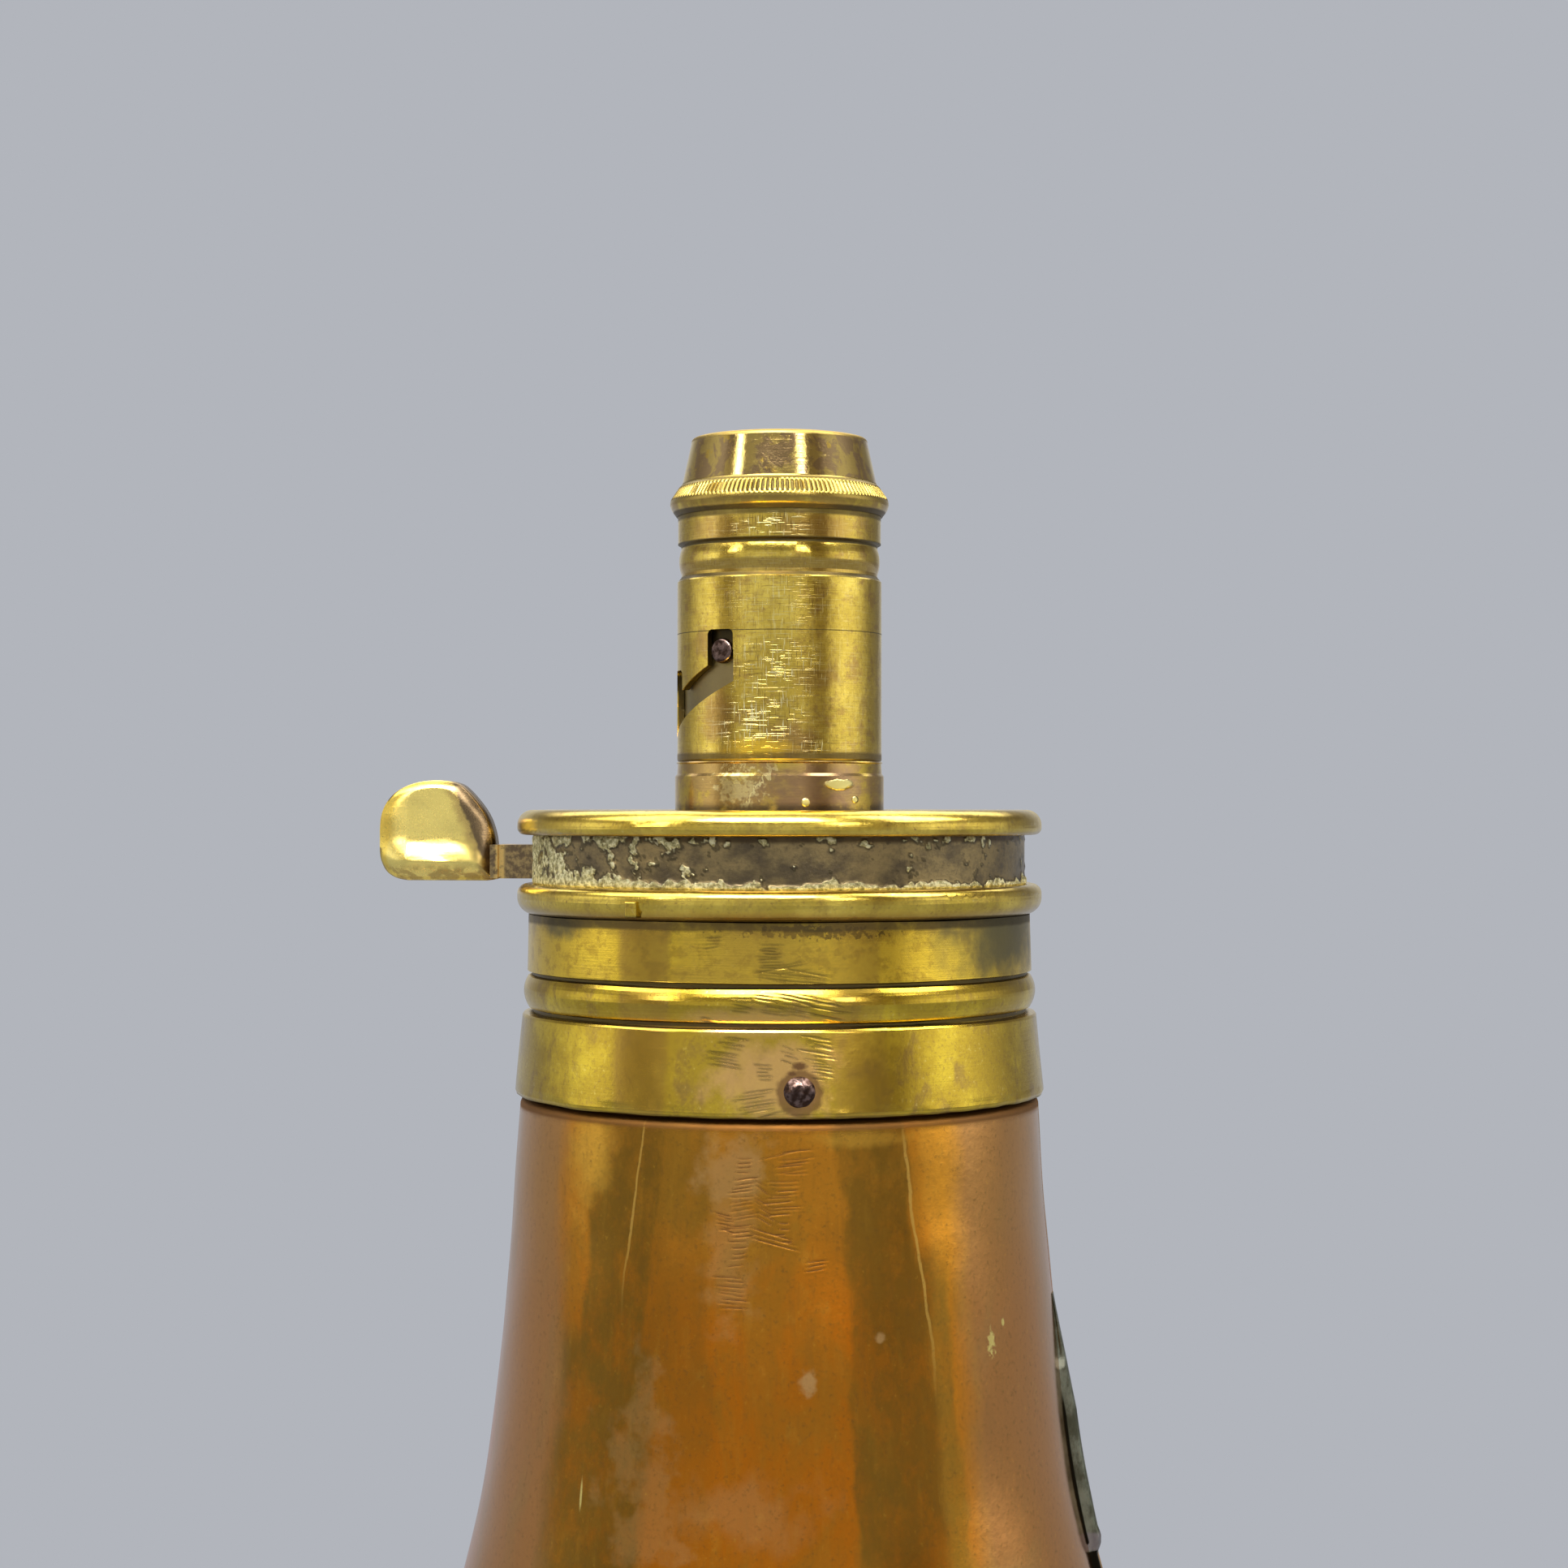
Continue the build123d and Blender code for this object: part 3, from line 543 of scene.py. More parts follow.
def thumb_detail(f):
    """The thumb piece: bright from use on its facet, and painted shade on its side towards the arm, brown
    with a dark edge.
    """
    f.stain((1, 0.82, 0.26), f.step(f.math("ABSOLUTE", f.along(0, 1, 0)), 1, 1.25), 0.7)
    # Painted shade: the side facing the flask is painted brown, edged with a dark line.
    torn = f.scaled(f.noise(0.8, detail=5), 1, f.along(1, 0, 0.45))
    edge = 0.45 * PLATE_TOP - 23.4
    f.stain((0.4, 0.25, 0.1), f.step(torn, edge - 0.9, edge - 0.1), 0.6)
    f.stain((0.13, 0.09, 0.06), f.step(torn, edge - 0.1, edge + 0.2), 0.9)
    f.stain(BROWN, f.step(f.height, -3.9, -4.6), f.step(f.noise(0.9, detail=4), 0.4, 0.55), 0.6)


def pin_detail(f):
    """The lock pin's end: brass like the flange round it, with painted shadow along its lower edge."""
    # Painted shadow along the pin's lower edge.
    f.stain(SHADE_AND_GRIME, f.step(f.height, -7.1, -7.3), 0.8)


def copper(name):
    """Copper with a patina: orange where it is thin, olive where it is thick, and rubbed pale in spots, with
    painted reflections as upright stripes and edge bands, and painted shade under the collar and in the
    chatter marks.
    """
    f = Finish(name)
    clouds = f.noise(7, (1, 1, 2), 5, 0.6, 0.5)
    mottle = f.noise(2.5, (1, 1, 1.4), 6, 0.65)
    fine = f.noise(0.35, detail=4, rough=0.7)
    red, amber = (0.66, 0.195, 0.01), (0.68, 0.28, 0.025)
    olive, golden = (0.36, 0.21, 0.026), (0.84, 0.45, 0.055)
    f.colour = f.mix(f.scaled(f.step(f.height, -25, -36), 0.85, 0.1), amber, red)
    f.stain(olive, f.step(clouds, 0.47, 0.62), 0.42)
    f.stain(golden, f.step(mottle, 0.58, 0.72), 0.22)
    broad = f.noise(26, (1, 1, 2.4), 5, 0.6, 0.7)
    # Painted reflection: dark upright stripes where the copper reflects the room's darker walls, and broad
    # dark patches at the back and low down.
    out_of_frame = f.highest(f.step(f.along(0, 1, 0), -8, 2), f.step(f.height, -52, -72))
    dark = f.stripes(
        ((-113, -19), (-121, -56), 2.4, 0.9, 3.4, 5, 0.85),
        ((-119, -36), (-124, -90), 3.6, 1.4, 4, 6, 0.85),
        ((-65, -15), (-57, -38), 2.3, 0.6, 3, 4, 0.75),
        ((-56, -30), (-53, -80), 3.5, 0.6, 3, 4, 0.75),
        ((-103, -19), (-103, -46), 2.2, 1.2, 3, 4, 0.48),
    )
    dark = f.highest(dark, f.product(out_of_frame, f.step(broad, 0.44, 0.6), 0.62))
    f.stain((0.25, 0.14, 0.02), dark, f.scaled(f.step(mottle, 0.36, 0.6), 0.45, 0.55))
    # Painted highlight: a light stripe and spots where the copper reflects the room's bright walls.
    bright = f.highest(
        f.spot(19.5, -124, -23.6, 1.8, 2.8, 1.5, soft=0.6),
        f.stripe((-46, -19), (-42, -60), 1.4, 0.9, 2, 3, 0.3),
        f.spot(19.5, -64, -22.2, 3, 0.5, 1, 0.8, soft=0.6),
    )
    f.stain(golden, bright, 0.8)
    streaks = f.noise(0.7, (1, 1, 7), 4, 0.6)
    f.stain(golden, f.step(streaks, 0.54, 0.68), 0.07)
    f.stain((0.27, 0.14, 0.03), f.step(streaks, 0.46, 0.34), 0.14)
    rubbed = f.highest(
        f.spot(19.5, -90.5, -24.4, 2.1, 2, 1.5, 0.65, 0.7, 0.45),
        f.spot(19.5, -91, -29.5, 1.5, 4.2, 1.5, 0.4, 0.8, 0.6),
        f.spot(21.5, -107, -45.6, 2.5, 4.4, 3, 0.34, 1.6),
        f.spot(21.5, -88, -47, 4.5, 1.6, 2.5, 0.35, 1, 0.8),
        f.spot(20.5, -75.4, -38.3, 0.55, 0.8, 0.5, soft=0.4),
        f.spot(20.5, -61, -35.5, 0.35, 0.35, 0.5, soft=0.4),
    )
    f.stain((0.78, 0.46, 0.17), rubbed, 0.7)
    # Painted reflection: paler bands down both edges as seen from the camera, where the copper reflects the
    # backdrop at a grazing angle.
    limbs = f.stripes(
        ((-148, -19), (-144, -90), 4.2, 3, 4, 6, 0.7),
        ((-22, -19), (-20, -90), 5.5, 3, 2, 3, 0.7),
    )
    f.stain((0.47, 0.26, 0.1), limbs)
    creases = f.stripes(
        ((-109.5, -20), (-114, -31.5), 0.05, 0.07, 1, 4),
        ((-55.2, -22), (-49.5, -36.5), 0.06, 0.09, 1.2, 4),
    )
    f.stain((0.85, 0.5, 0.1), creases, 0.8)
    specks = f.highest(
        f.spot(22, -122, -46.8, 0.1, 0.9, ragged=0.2),
        f.spot(20.5, -34.5, -36.8, 0.3, 0.8, 0.4, ragged=0.9, soft=0.4),
        f.spot(20.5, -30.5, -35.5, 0.15, 0.25, 0.4, ragged=0.4, soft=0.4),
    )
    f.stain((0.85, 0.66, 0.2), specks)
    f.stain((0.24, 0.12, 0.03), f.step(fine, 0.52, 0.74), 0.45)
    f.stain(golden, f.step(fine, 0.4, 0.26), 0.3)
    # Painted shade: darker under the collar's foot and in the chatter marks, and darker in patches just below
    # the collar.
    shade_and_grime = f.highest(
        f.product(f.step(f.height, -22, -21.2), f.step(f.noise(1.4, detail=4), 0.3, 0.55)),
        f.step(f.value("cut"), 0, 0.7), f.step(f.height, -21.75, -21.45),
    )
    f.stain((0.13, 0.06, 0.02), shade_and_grime, 0.85)
    f.rough = f.total(f.scaled(f.total(clouds, mottle), 0.14, 0.03), f.product(shade_and_grime, 0.45))
    f.bump(f.noise(1.6, detail=2), 0.01)
    f.bump(fine, 0.004)
    return f.done()


def dark_steel(name):
    f = Finish(name)
    clouds = f.noise(0.55, detail=5)
    f.colour = f.mix(f.step(clouds, 0.42, 0.62), (0.045, 0.025, 0.018), (0.17, 0.115, 0.1))
    f.rough = 0.24
    f.bump(clouds, 0.06)
    return f.done()


def crusted_brass(name):
    """Brass gone dark brown, under a pale crust where the mesh's attribute says so."""
    f = Finish(name)
    clouds = f.noise(2.2, (1.6, 1.6, 1), 6, 0.65)
    fine = f.noise(0.35, detail=5, rough=0.7)
    f.colour = f.mix(f.step(clouds, 0.36, 0.62), (0.13, 0.1, 0.06), (0.34, 0.25, 0.11))
    f.stain((0.1, 0.075, 0.05), f.step(fine, 0.5, 0.7), 0.5)
    # Painted shadow: darker at the band's top, under the plate.
    f.stain((0.05, 0.03, 0.015), f.step(f.height, -2.35, -2.05), 0.8)
    f.bump(fine, 0.03)
    crust = f.value("crust")
    shades = f.ramp(
        f.scaled(fine, 0.8, f.product(clouds, 0.2)),
        [(0.38, (0.16, 0.13, 0.05)), (0.48, (0.46, 0.41, 0.18)), (0.57, (0.86, 0.81, 0.5))],
    )
    f.stain((0.07, 0.055, 0.03), f.band(crust, 0.16, 0.1, 0.08), 0.7)
    covered = f.step(crust, 0.2, 0.45)
    f.stain(shades, covered)
    f.rough = f.scaled(covered, 0.4, f.scaled(fine, 0.25, 0.2))
    f.bump(f.product(fine, covered), 0.05)
    f.feed(f.shader.inputs["Metallic"], f.scaled(covered, -0.9, 1))
    return f.done()


def arm_metal(name):
    """The lever arm: dark brass with one rubbed upright ridge beside the thumb piece."""
    f = Finish(name)
    fine = f.noise(0.5, detail=4, rough=0.65)
    ridge = f.band(f.scaled(fine, 0.5, f.along(1, 0, 0)), -20.45, 0.16, 0.3)
    f.colour = f.mix(f.step(fine, 0.4, 0.65), (0.17, 0.12, 0.07), (0.42, 0.3, 0.13))
    f.stain((0.75, 0.5, 0.16), ridge, f.step(fine, 0.3, 0.5))
    f.rough = 0.3
    f.bump(fine, 0.02)
    return f.done()


def solder(name):
    """Soft solder: grey-green, with a pale spot, a brown bump, and copper's colour above its broken place."""
    f = Finish(name)
    clouds = f.noise(0.9, (1, 1, 2), 5, 0.65)
    gap = f.value("gap")
    f.colour = f.mix(f.step(clouds, 0.38, 0.66), (0.1, 0.1, 0.065), (0.25, 0.26, 0.19))
    spot = f.spot(20.6, -1.3, -40.1, 0.5, 0.32, 0.4, None, 0.5, 0.4)
    f.stain((0.7, 0.72, 0.55), f.band(f.along(1, 0, 0), 20.8, 0.16, 0.12), spot, 0.8)
    f.stain((0.3, 0.26, 0.28), f.line(-53, 0.5, 0.3), 0.6)
    f.stain((0.62, 0.3, 0.05), f.line(-55.2, 1.2, 0.3), f.math("SUBTRACT", 1, gap), 0.7)
    # Painted shadow: near black in the gap beside the lip and in the broken place.
    f.stain((0.012, 0.01, 0.006), f.step(gap, 0.3, 0.7))
    f.rough = 0.42
    f.bump(clouds, 0.06)
    return f.done()


def paint(material, *names):
    for name in names:
        nodes[name].data.materials.clear()
        nodes[name].data.materials.append(material)


# ---------------- mesh helpers


def dense(outline, step):
    """The outline with its closed loop's longer sides cut into steps, in mm."""
    points = []
    for (r0, z0), (r1, z1) in zip(outline, outline[1:] + outline[:1]):
        parts = max(1, math.ceil(math.hypot(r1 - r0, z1 - z0) / step))
        points += [(r0 + (r1 - r0) * k / parts, z0 + (z1 - z0) * k / parts) for k in range(parts)]
    return np.array(points)


def arc(start, middle, end, parts=8):
    """Points from start to end, both included, on a curve that passes through middle."""
    control = [2 * m - (s + e) / 2 for s, m, e in zip(start, middle, end)]
    shares = [k / parts for k in range(parts + 1)]
    return [
        tuple(s * (1 - t) ** 2 + 2 * c * t * (1 - t) + e * t**2 for s, c, e in zip(start, control, end))
        for t in shares
    ]


def grid_faces(rows, columns, wrap_rows, wrap_columns):
    """Quads over rows of points, each row with the same number of columns."""
    row = np.arange(rows if wrap_rows else rows - 1)[:, None]
    column = np.arange(columns if wrap_columns else columns - 1)[None, :]
    row2, column2 = (row + 1) % rows, (column + 1) % columns
    row, row2 = row * columns, row2 * columns
    quads = [row + column, row + column2, row2 + column2, row2 + column]
    return np.stack(np.broadcast_arrays(*quads), -1).reshape(-1, 4)


def capped(faces, count):
    """The faces of an open tube, with a cap on its first and on its last ring of count points."""
    last = int(faces.max())
    return faces.tolist() + [list(range(count)), [last - k for k in range(count)]]


def make_piece(name, points, faces, body, material, replaced=(), crease=40, values=None):
    """A mesh piece from points in mm. values are named numbers at its points, for its material."""
    mesh = bpy.data.meshes.new(name)
    mesh.from_pydata((np.asarray(points) * MM).tolist(), [], [list(f) for f in faces])
    for key, numbers in (values or {}).items():
        attribute = mesh.attributes.new(key, "FLOAT", "POINT")
        attribute.data.foreach_set("value", np.ravel(numbers).astype(np.float32))
    mesh.update()
    mesh.shade_smooth()
    mesh.set_sharp_from_angle(angle=math.radians(crease))
    mesh.materials.append(material)
    piece = put(name, mesh)
    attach(piece, body)
    if replaced:
        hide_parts(*replaced)
    return piece


def outline_normals(outline):
    """Outward unit normals of a closed outline that runs clockwise in (radius, height)."""
    along = np.roll(outline, -1, 0) - np.roll(outline, 1, 0)
    normals = np.stack([-along[:, 1], along[:, 0]], 1)
    return normals / np.maximum(np.linalg.norm(normals, axis=1), 1e-9)[:, None]


def turned_grid(outline, angles):
    """The angle, radius and height of each point of a closed outline carried round the axis."""
    radius = np.broadcast_to(outline[:, 0], (len(angles), len(outline)))
    height = np.broadcast_to(outline[:, 1], radius.shape)
    return np.broadcast_to(np.asarray(angles)[:, None], radius.shape), radius, height


def turned_points(outline, angles, proud=0):
    """Points of a closed outline carried round the axis and moved outwards by proud, in mm."""
    angle, radius, height = turned_grid(outline, angles)
    normals = outline_normals(outline)
    radius = radius + proud * normals[:, 0]
    height = height + proud * normals[:, 1]
    turn = np.radians(angle)
    points = np.stack([radius * np.cos(turn), radius * np.sin(turn), height + PLATE_TOP], -1)
    return points.reshape(-1, 3)


def spread(start, end, step):
    """Angles from start up to, and without, end."""
    count = max(1, round((end - start) / step))
    return [start + (end - start) * k / count for k in range(count)]


# Rows of short chatter marks, each: place across the surface from VIEW_ANGLE, height of its top mark above
# the plate's top, number of marks, spacing, length, tilt in degrees (up to the right) and depth.
COPPER_MARKS = [
    (-2.45, -24.8, 10, 0.29, 1.9, 8, 0.026), (0.33, -25, 9, 0.27, 2.2, 2, 0.028),
    (-1.1, -25.1, 9, 0.31, 1.2, -32, 0.024), (-0.6, -28.5, 3, 0.3, 3.3, -16, 0.034),
    (-3.75, -27.2, 6, 0.22, 1.4, -12, 0.024), (-2.6, -27.9, 4, 0.25, 2.2, 8, 0.026),
    (-2.85, -29, 5, 0.38, 1.3, 6, 0.018), (-3.1, -31.4, 8, 0.29, 2, -4, 0.018),
    (0.85, -22.9, 7, 0.26, 2.6, 6, 0.024), (2.4, -30.3, 3, 0.28, 1.7, 9, 0.022),
    (0.3, -27.7, 4, 0.4, 1, 0, 0.02), (-2.3, -23.4, 4, 0.3, 1.2, 3, 0.014),
]
COLLAR_MARKS = [
    (-0.6, -9.1, 9, 0.19, 1.6, 0, 0.015), (0.2, -10.4, 4, 0.18, 2.8, 8, 0.018),
    (1.3, -10.9, 5, 0.2, 4.5, -8, 0.02), (-4.6, -8.6, 4, 0.25, 1.2, 4, 0.012),
    (-2.4, -12.75, 5, 0.21, 1.9, -5, 0.018), (-0.7, -12.4, 7, 0.22, 2.6, -8, 0.024),
    (1, -12.5, 7, 0.22, 2.4, -9, 0.022), (2.7, -12.7, 7, 0.2, 3.1, -10, 0.024),
    (-5.2, -14, 3, 0.14, 1.6, -4, 0.014), (-3.1, -15.3, 5, 0.17, 1.9, -4, 0.018),
    (-3.7, -16.3, 5, 0.22, 2.4, -8, 0.02), (2.5, -15.2, 9, 0.2, 2, -10, 0.022),
    (2.8, -17.1, 6, 0.19, 1.4, -7, 0.018), (-1, -17.1, 5, 0.26, 1.2, 0, 0.016),
    (-1.4, -18.9, 9, 0.22, 3, 9, 0.018), (0.6, -16, 4, 0.3, 1, -20, 0.014),
]
MARK_HALF_WIDTH, MARK_GAIN = 0.065, 1.25
COPPER_MARK_GAIN, COLLAR_MARK_GAIN = 0.7, 0.8


def chatter(across, height, rows, seed):
    """The marks' relief at places across the surface and heights, and from 0 to 1 how dark it is there."""
    random = np.random.default_rng(seed)
    relief = np.zeros(across.shape)
    cut = np.zeros(across.shape)
    for middle, top, count, spacing, length, tilt, depth in rows:
        for k in range(count):
            slope = math.tan(math.radians(tilt + random.normal(0, 2.5)))
            half = length / 2 * random.uniform(0.7, 1.1)
            place = middle + random.normal(0, 0.12 * length)
            level = top - spacing * (k + random.uniform(-0.2, 0.2))
            bow = random.uniform(-0.05, 0.05)
            u = (across - place) / half
            v = (height - level - slope * (across - place) - bow * u * u) / MARK_HALF_WIDTH
            ends = np.where(np.abs(u) < 1.1, np.clip(1.15 - np.abs(u) ** 3, 0, 1), 0)
            groove = ends * np.exp(-v * v)
            ridge = ends * np.exp(-((v + 1.9) ** 2)) * 0.45
            strength = random.uniform(0.5, 1)
            relief += MARK_GAIN * depth * strength * (ridge - groove)
            cut = np.maximum(cut, groove * strength)
    return relief, cut


def dents(points, amount, size, seed):
    """Gentle dents as a smooth sum of waves over points in mm."""
    random = np.random.default_rng(seed)
    total = np.zeros(points.shape[:-1])
    for _ in range(9):
        wave = random.normal(0, 1, 3)
        wave *= random.uniform(0.7, 1.6) * 2 * math.pi / size / np.linalg.norm(wave)
        total += np.sin(points @ wave + random.uniform(0, 2 * math.pi))
    return total * amount / 3


# ---------------- pieces: body

BODY_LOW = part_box("body_front_shell")[0].z / MM
WALL = 0.8
BELLY_Z, BELLY_HALF_WIDTH, BELLY_HALF_DEPTH = 46, 43.6, 23.8
ROUNDNESS = 2.3
UPPER_BODY = [      # height, half width and half depth, as in the CAD part
    (64, 41.4, 23.8), (80, 36.6, 23.4), (94, 31.2, 22.7), (106, 26.7, 21.9), (117.7, 23.1, 21),
    (125, 21.55, 20.4), (134, 20.5, 19.9), (143, 19.65, 19.4), (150.5, 19.1, 19.1),
]
SHOULDER_Z = PLATE_TOP - 20.95
NECK_R = 17.85


def body_sections(rows):
    """Half width and half depth of the body at heights, by a smooth curve through its sections."""
    shares = np.sin(np.linspace(0, math.pi / 2, 24))[::-1]
    narrowing = np.maximum(1 - shares**ROUNDNESS, 0) ** (1 / ROUNDNESS)
    z = list(BELLY_Z - (BELLY_Z - BODY_LOW) * shares) + [s[0] for s in UPPER_BODY]
    a = list(BELLY_HALF_WIDTH * narrowing) + [s[1] for s in UPPER_BODY]
    b = list(BELLY_HALF_DEPTH * narrowing) + [s[2] for s in UPPER_BODY]
    z, a, b = (np.array(v) for v in (z, a, b))
    found = []
    for values in (a, b):
        slope = np.gradient(values, z)
        k = np.clip(np.searchsorted(z, rows) - 1, 0, len(z) - 2)
        h = z[k + 1] - z[k]
        t = (rows - z[k]) / h
        found.append(
            (2 * t**3 - 3 * t**2 + 1) * values[k] + (t**3 - 2 * t**2 + t) * h * slope[k]
            + (3 * t**2 - 2 * t**3) * values[k + 1] + (t**3 - t**2) * h * slope[k + 1]
        )
    return found


def body_rows():
    """Heights of the rows of points: close together at the floor and where the chatter marks are."""
    floor = BELLY_Z - (BELLY_Z - BODY_LOW) * np.sin(np.linspace(math.pi / 2, 0, 40))
    marks_low, marks_high = PLATE_TOP - 34.3, PLATE_TOP - 22.4
    return np.concatenate([
        floor[:-1],
        np.arange(BELLY_Z, marks_low, 1),
        np.arange(marks_low, marks_high, 0.055),
        np.linspace(marks_high, SHOULDER_Z - 0.45, 6),
    ])


def body_shell(name, first_angle, replaced, material):
    """One pressed half of the body: a dented skin thickened inwards, with the chatter marks in front."""
    rows = body_rows()
    half_width, half_depth = body_sections(rows)
    marked, step, fine_step = (VIEW_ANGLE - 14, VIEW_ANGLE + 13), 1.5, 0.36
    last_angle = first_angle + 180
    if first_angle < VIEW_ANGLE < last_angle:
        angles = spread(first_angle, marked[0], step) + spread(*marked, fine_step)
        angles += spread(marked[1], last_angle, step) + [last_angle]
    else:
        angles = spread(first_angle, last_angle, step) + [last_angle]
    turn = np.radians(angles)[None, :]
    wide, deep = (np.maximum(half, 1e-6)[:, None] for half in (half_width, half_depth))
    out = np.stack([np.cos(turn) / wide, np.sin(turn) / deep], -1)
    radius = 1 / np.maximum(np.linalg.norm(out, axis=-1), 1e-9)
    radius[0] = 0.0
    z = np.broadcast_to(rows[:, None], radius.shape)
    points = np.stack([radius * np.cos(turn), radius * np.sin(turn), z], -1)
    fade = np.clip((SHOULDER_Z - z) / 8, 0, 1) * np.clip(z / 20, 0, 1)
    belly = np.clip(1 - np.abs(z - BELLY_Z) / 40, 0, 1)
    proud = (dents(points, 0.075, 24, 4) + dents(points, 0.022, 9, 5)) * fade - 0.14 * belly
    across = (np.broadcast_to(angles, radius.shape) - VIEW_ANGLE) * math.pi / 180 * radius
    relief, cut = chatter(across, z - PLATE_TOP, COPPER_MARKS, 11)
    proud += COPPER_MARK_GAIN * relief
    grown = (radius + np.where(radius > 0, proud, 0)) / np.maximum(radius, 1e-9)
    points[..., :2] *= grown[..., None]
    neck = [
        (SHOULDER_Z - 0.2, half_width[-1] - 0.1), (SHOULDER_Z, half_width[-1] - 0.45), (SHOULDER_Z, NECK_R),
        (PLATE_TOP - 13.1, NECK_R),
    ]
    extra = [
        np.stack([r * np.cos(turn[0]), r * np.sin(turn[0]), np.full(len(angles), h)], -1) for h, r in neck
    ]
    points = np.concatenate([points, np.array(extra)])
    cut = np.concatenate([cut, np.zeros((len(extra), len(angles)))])
    faces = grid_faces(len(points), len(angles), False, False)
    piece = make_piece(
        name, points.reshape(-1, 3), faces, "flask", material, replaced, values={"cut": cut}
    )
    sheet = piece.modifiers.new("wall", "SOLIDIFY")
    sheet.thickness = WALL * MM
    sheet.offset = -1.0
    return piece


def make_body():
    metal = copper("copper")
    body_shell("copper_front", -180, ["body_front_shell"], metal)
    body_shell("copper_rear", 0, ["body_rear_shell"], metal)


# ---------------- pieces: collar and head


def collar_outline():
    """The collar's section, clockwise from its inner lower corner, as (radius, height above the plate)."""
    top, bottom = -7.6, -20.7
    return [
        (17.9, bottom), (17.9, top - 5.3), (17, top - 5.3), (17, top), (18.45, top), (18.55, top - 4.1),
        (18.2, top - 4.2), (18.2, top - 4.4), (18.5, top - 4.5),
        *arc((18.5, top - 4.5), (18.82, top - 5.6), (18.45, top - 6.75))[1:],
        (18.15, top - 6.85), (18.15, top - 7.1), (18.8, top - 7.2), (18.9, top - 7.35),
        (19.45, bottom + 0.3), (19.33, bottom),
    ]


def make_collar():
    outline = dense(collar_outline(), 0.06)
    marked = (VIEW_ANGLE - 16, VIEW_ANGLE + 16)
    angles = spread(*marked, 0.4) + spread(marked[1], marked[0] + 360, 1.2)

    angle, radius, height = turned_grid(outline, angles)
    turn = np.radians(angle)
    places = np.stack([radius * np.cos(turn), radius * np.sin(turn), height], -1)
    marks, cut = chatter((angle - VIEW_ANGLE) * math.pi / 180 * radius, height, COLLAR_MARKS, 12)
    outside = np.clip((radius - 18) / 0.1, 0, 1)
    edge = dents(places, 0.03, 3, 8) * np.clip((-19.9 - height) / 0.6, 0, 1)
    proud = outside * (COLLAR_MARK_GAIN * marks + edge + dents(places, 0.028, 13, 7))
    points = turned_points(outline, angles, proud)
    faces = grid_faces(len(angles), len(outline), True, True)
    metal = brass(
        "collar_brass", bright=(0.75, 0.55, 0.05), dull=(0.5, 0.34, 0.035), roughness=0.19, film=0.6,
        detail=collar_detail,
    )
    make_piece(
        "collar_turned", points, faces, "flask", metal, ["collar"], values={"cut": cut * outside}
    )


def make_nozzle():
    """The nozzle, with ribs milled into the upper slope of its ring."""
    outline = [
        (5.5, 20.7), (5.5, 27.25), (5.65, 27.4), (6.15, 27.4),
        *arc((6.15, 27.4), (6.42, 27.3), (6.53, 27))[1:],
        (7.2, 23.95), (7.42, 23.75), (7.99, 22.9),
        *arc((7.99, 22.9), (8.07, 22.5), (7.97, 22.1))[1:],
        (7.6, 21.6), (7, 21.6), (7, 20.7),
    ]
    outline = dense(outline, 0.12)
    ribs = 138
    angles = spread(0, 360, 360 / ribs / 8)

    angle, radius, height = turned_grid(outline, angles)
    wander = 0.35 * np.sin(np.radians(angle * 5)) + 0.2 * np.sin(np.radians(angle * 11 + 40))
    wave = np.cos(np.radians(angle * ribs) + wander)
    milled = np.clip((height - 22.75) / 0.15, 0, 1) * np.clip((23.72 - height) / 0.12, 0, 1)
    strength = 0.75 + 0.25 * np.sin(np.radians(angle * 3))
    cut = np.clip(0.6 - 1.6 * wave, 0, 1) * milled * strength * np.clip((radius - 7.1) / 0.1, 0, 1)
    points = turned_points(outline, angles, -0.16 * cut)
    faces = grid_faces(len(angles), len(outline), True, True)
    metal = brass("nozzle_brass", roughness=0.12, cloud_size=2.5, detail=nozzle_detail)
    make_piece(
        "nozzle_milled", points, faces, "charger_spout", metal, ["nozzle"], crease=50,
        values={"cut": cut},
    )


def crust_amount(angle, height):
    """From 0, bare, to 1, thick: the crust keeps to the band's foot and top, and to the lever's side."""
    turn = math.radians(angle)
    spot = Vector((18 * math.cos(turn), 18 * math.sin(turn), height))
    patches = noise.fractal(spot * 0.62, 1, 2.1, 5) * 0.5 + 0.5
    grains = noise.fractal(spot * 1.5, 0.9, 2.1, 4) * 0.5 + 0.5
    side = math.exp(-(((angle + 158) / 26) ** 2)) + 0.5 * math.exp(-(((angle + 118) / 16) ** 2))
    foot = math.exp(-((height + 5.4) / 0.55) ** 2)
    head = 0.55 * math.exp(-((height + 2.1) / 0.45) ** 2)
    want = 0.25 + 0.33 * side + 0.52 * foot + 0.32 * head
    return min(1, max(0, (patches * 0.6 + grains * 0.5 + want - 1.02) * 4))


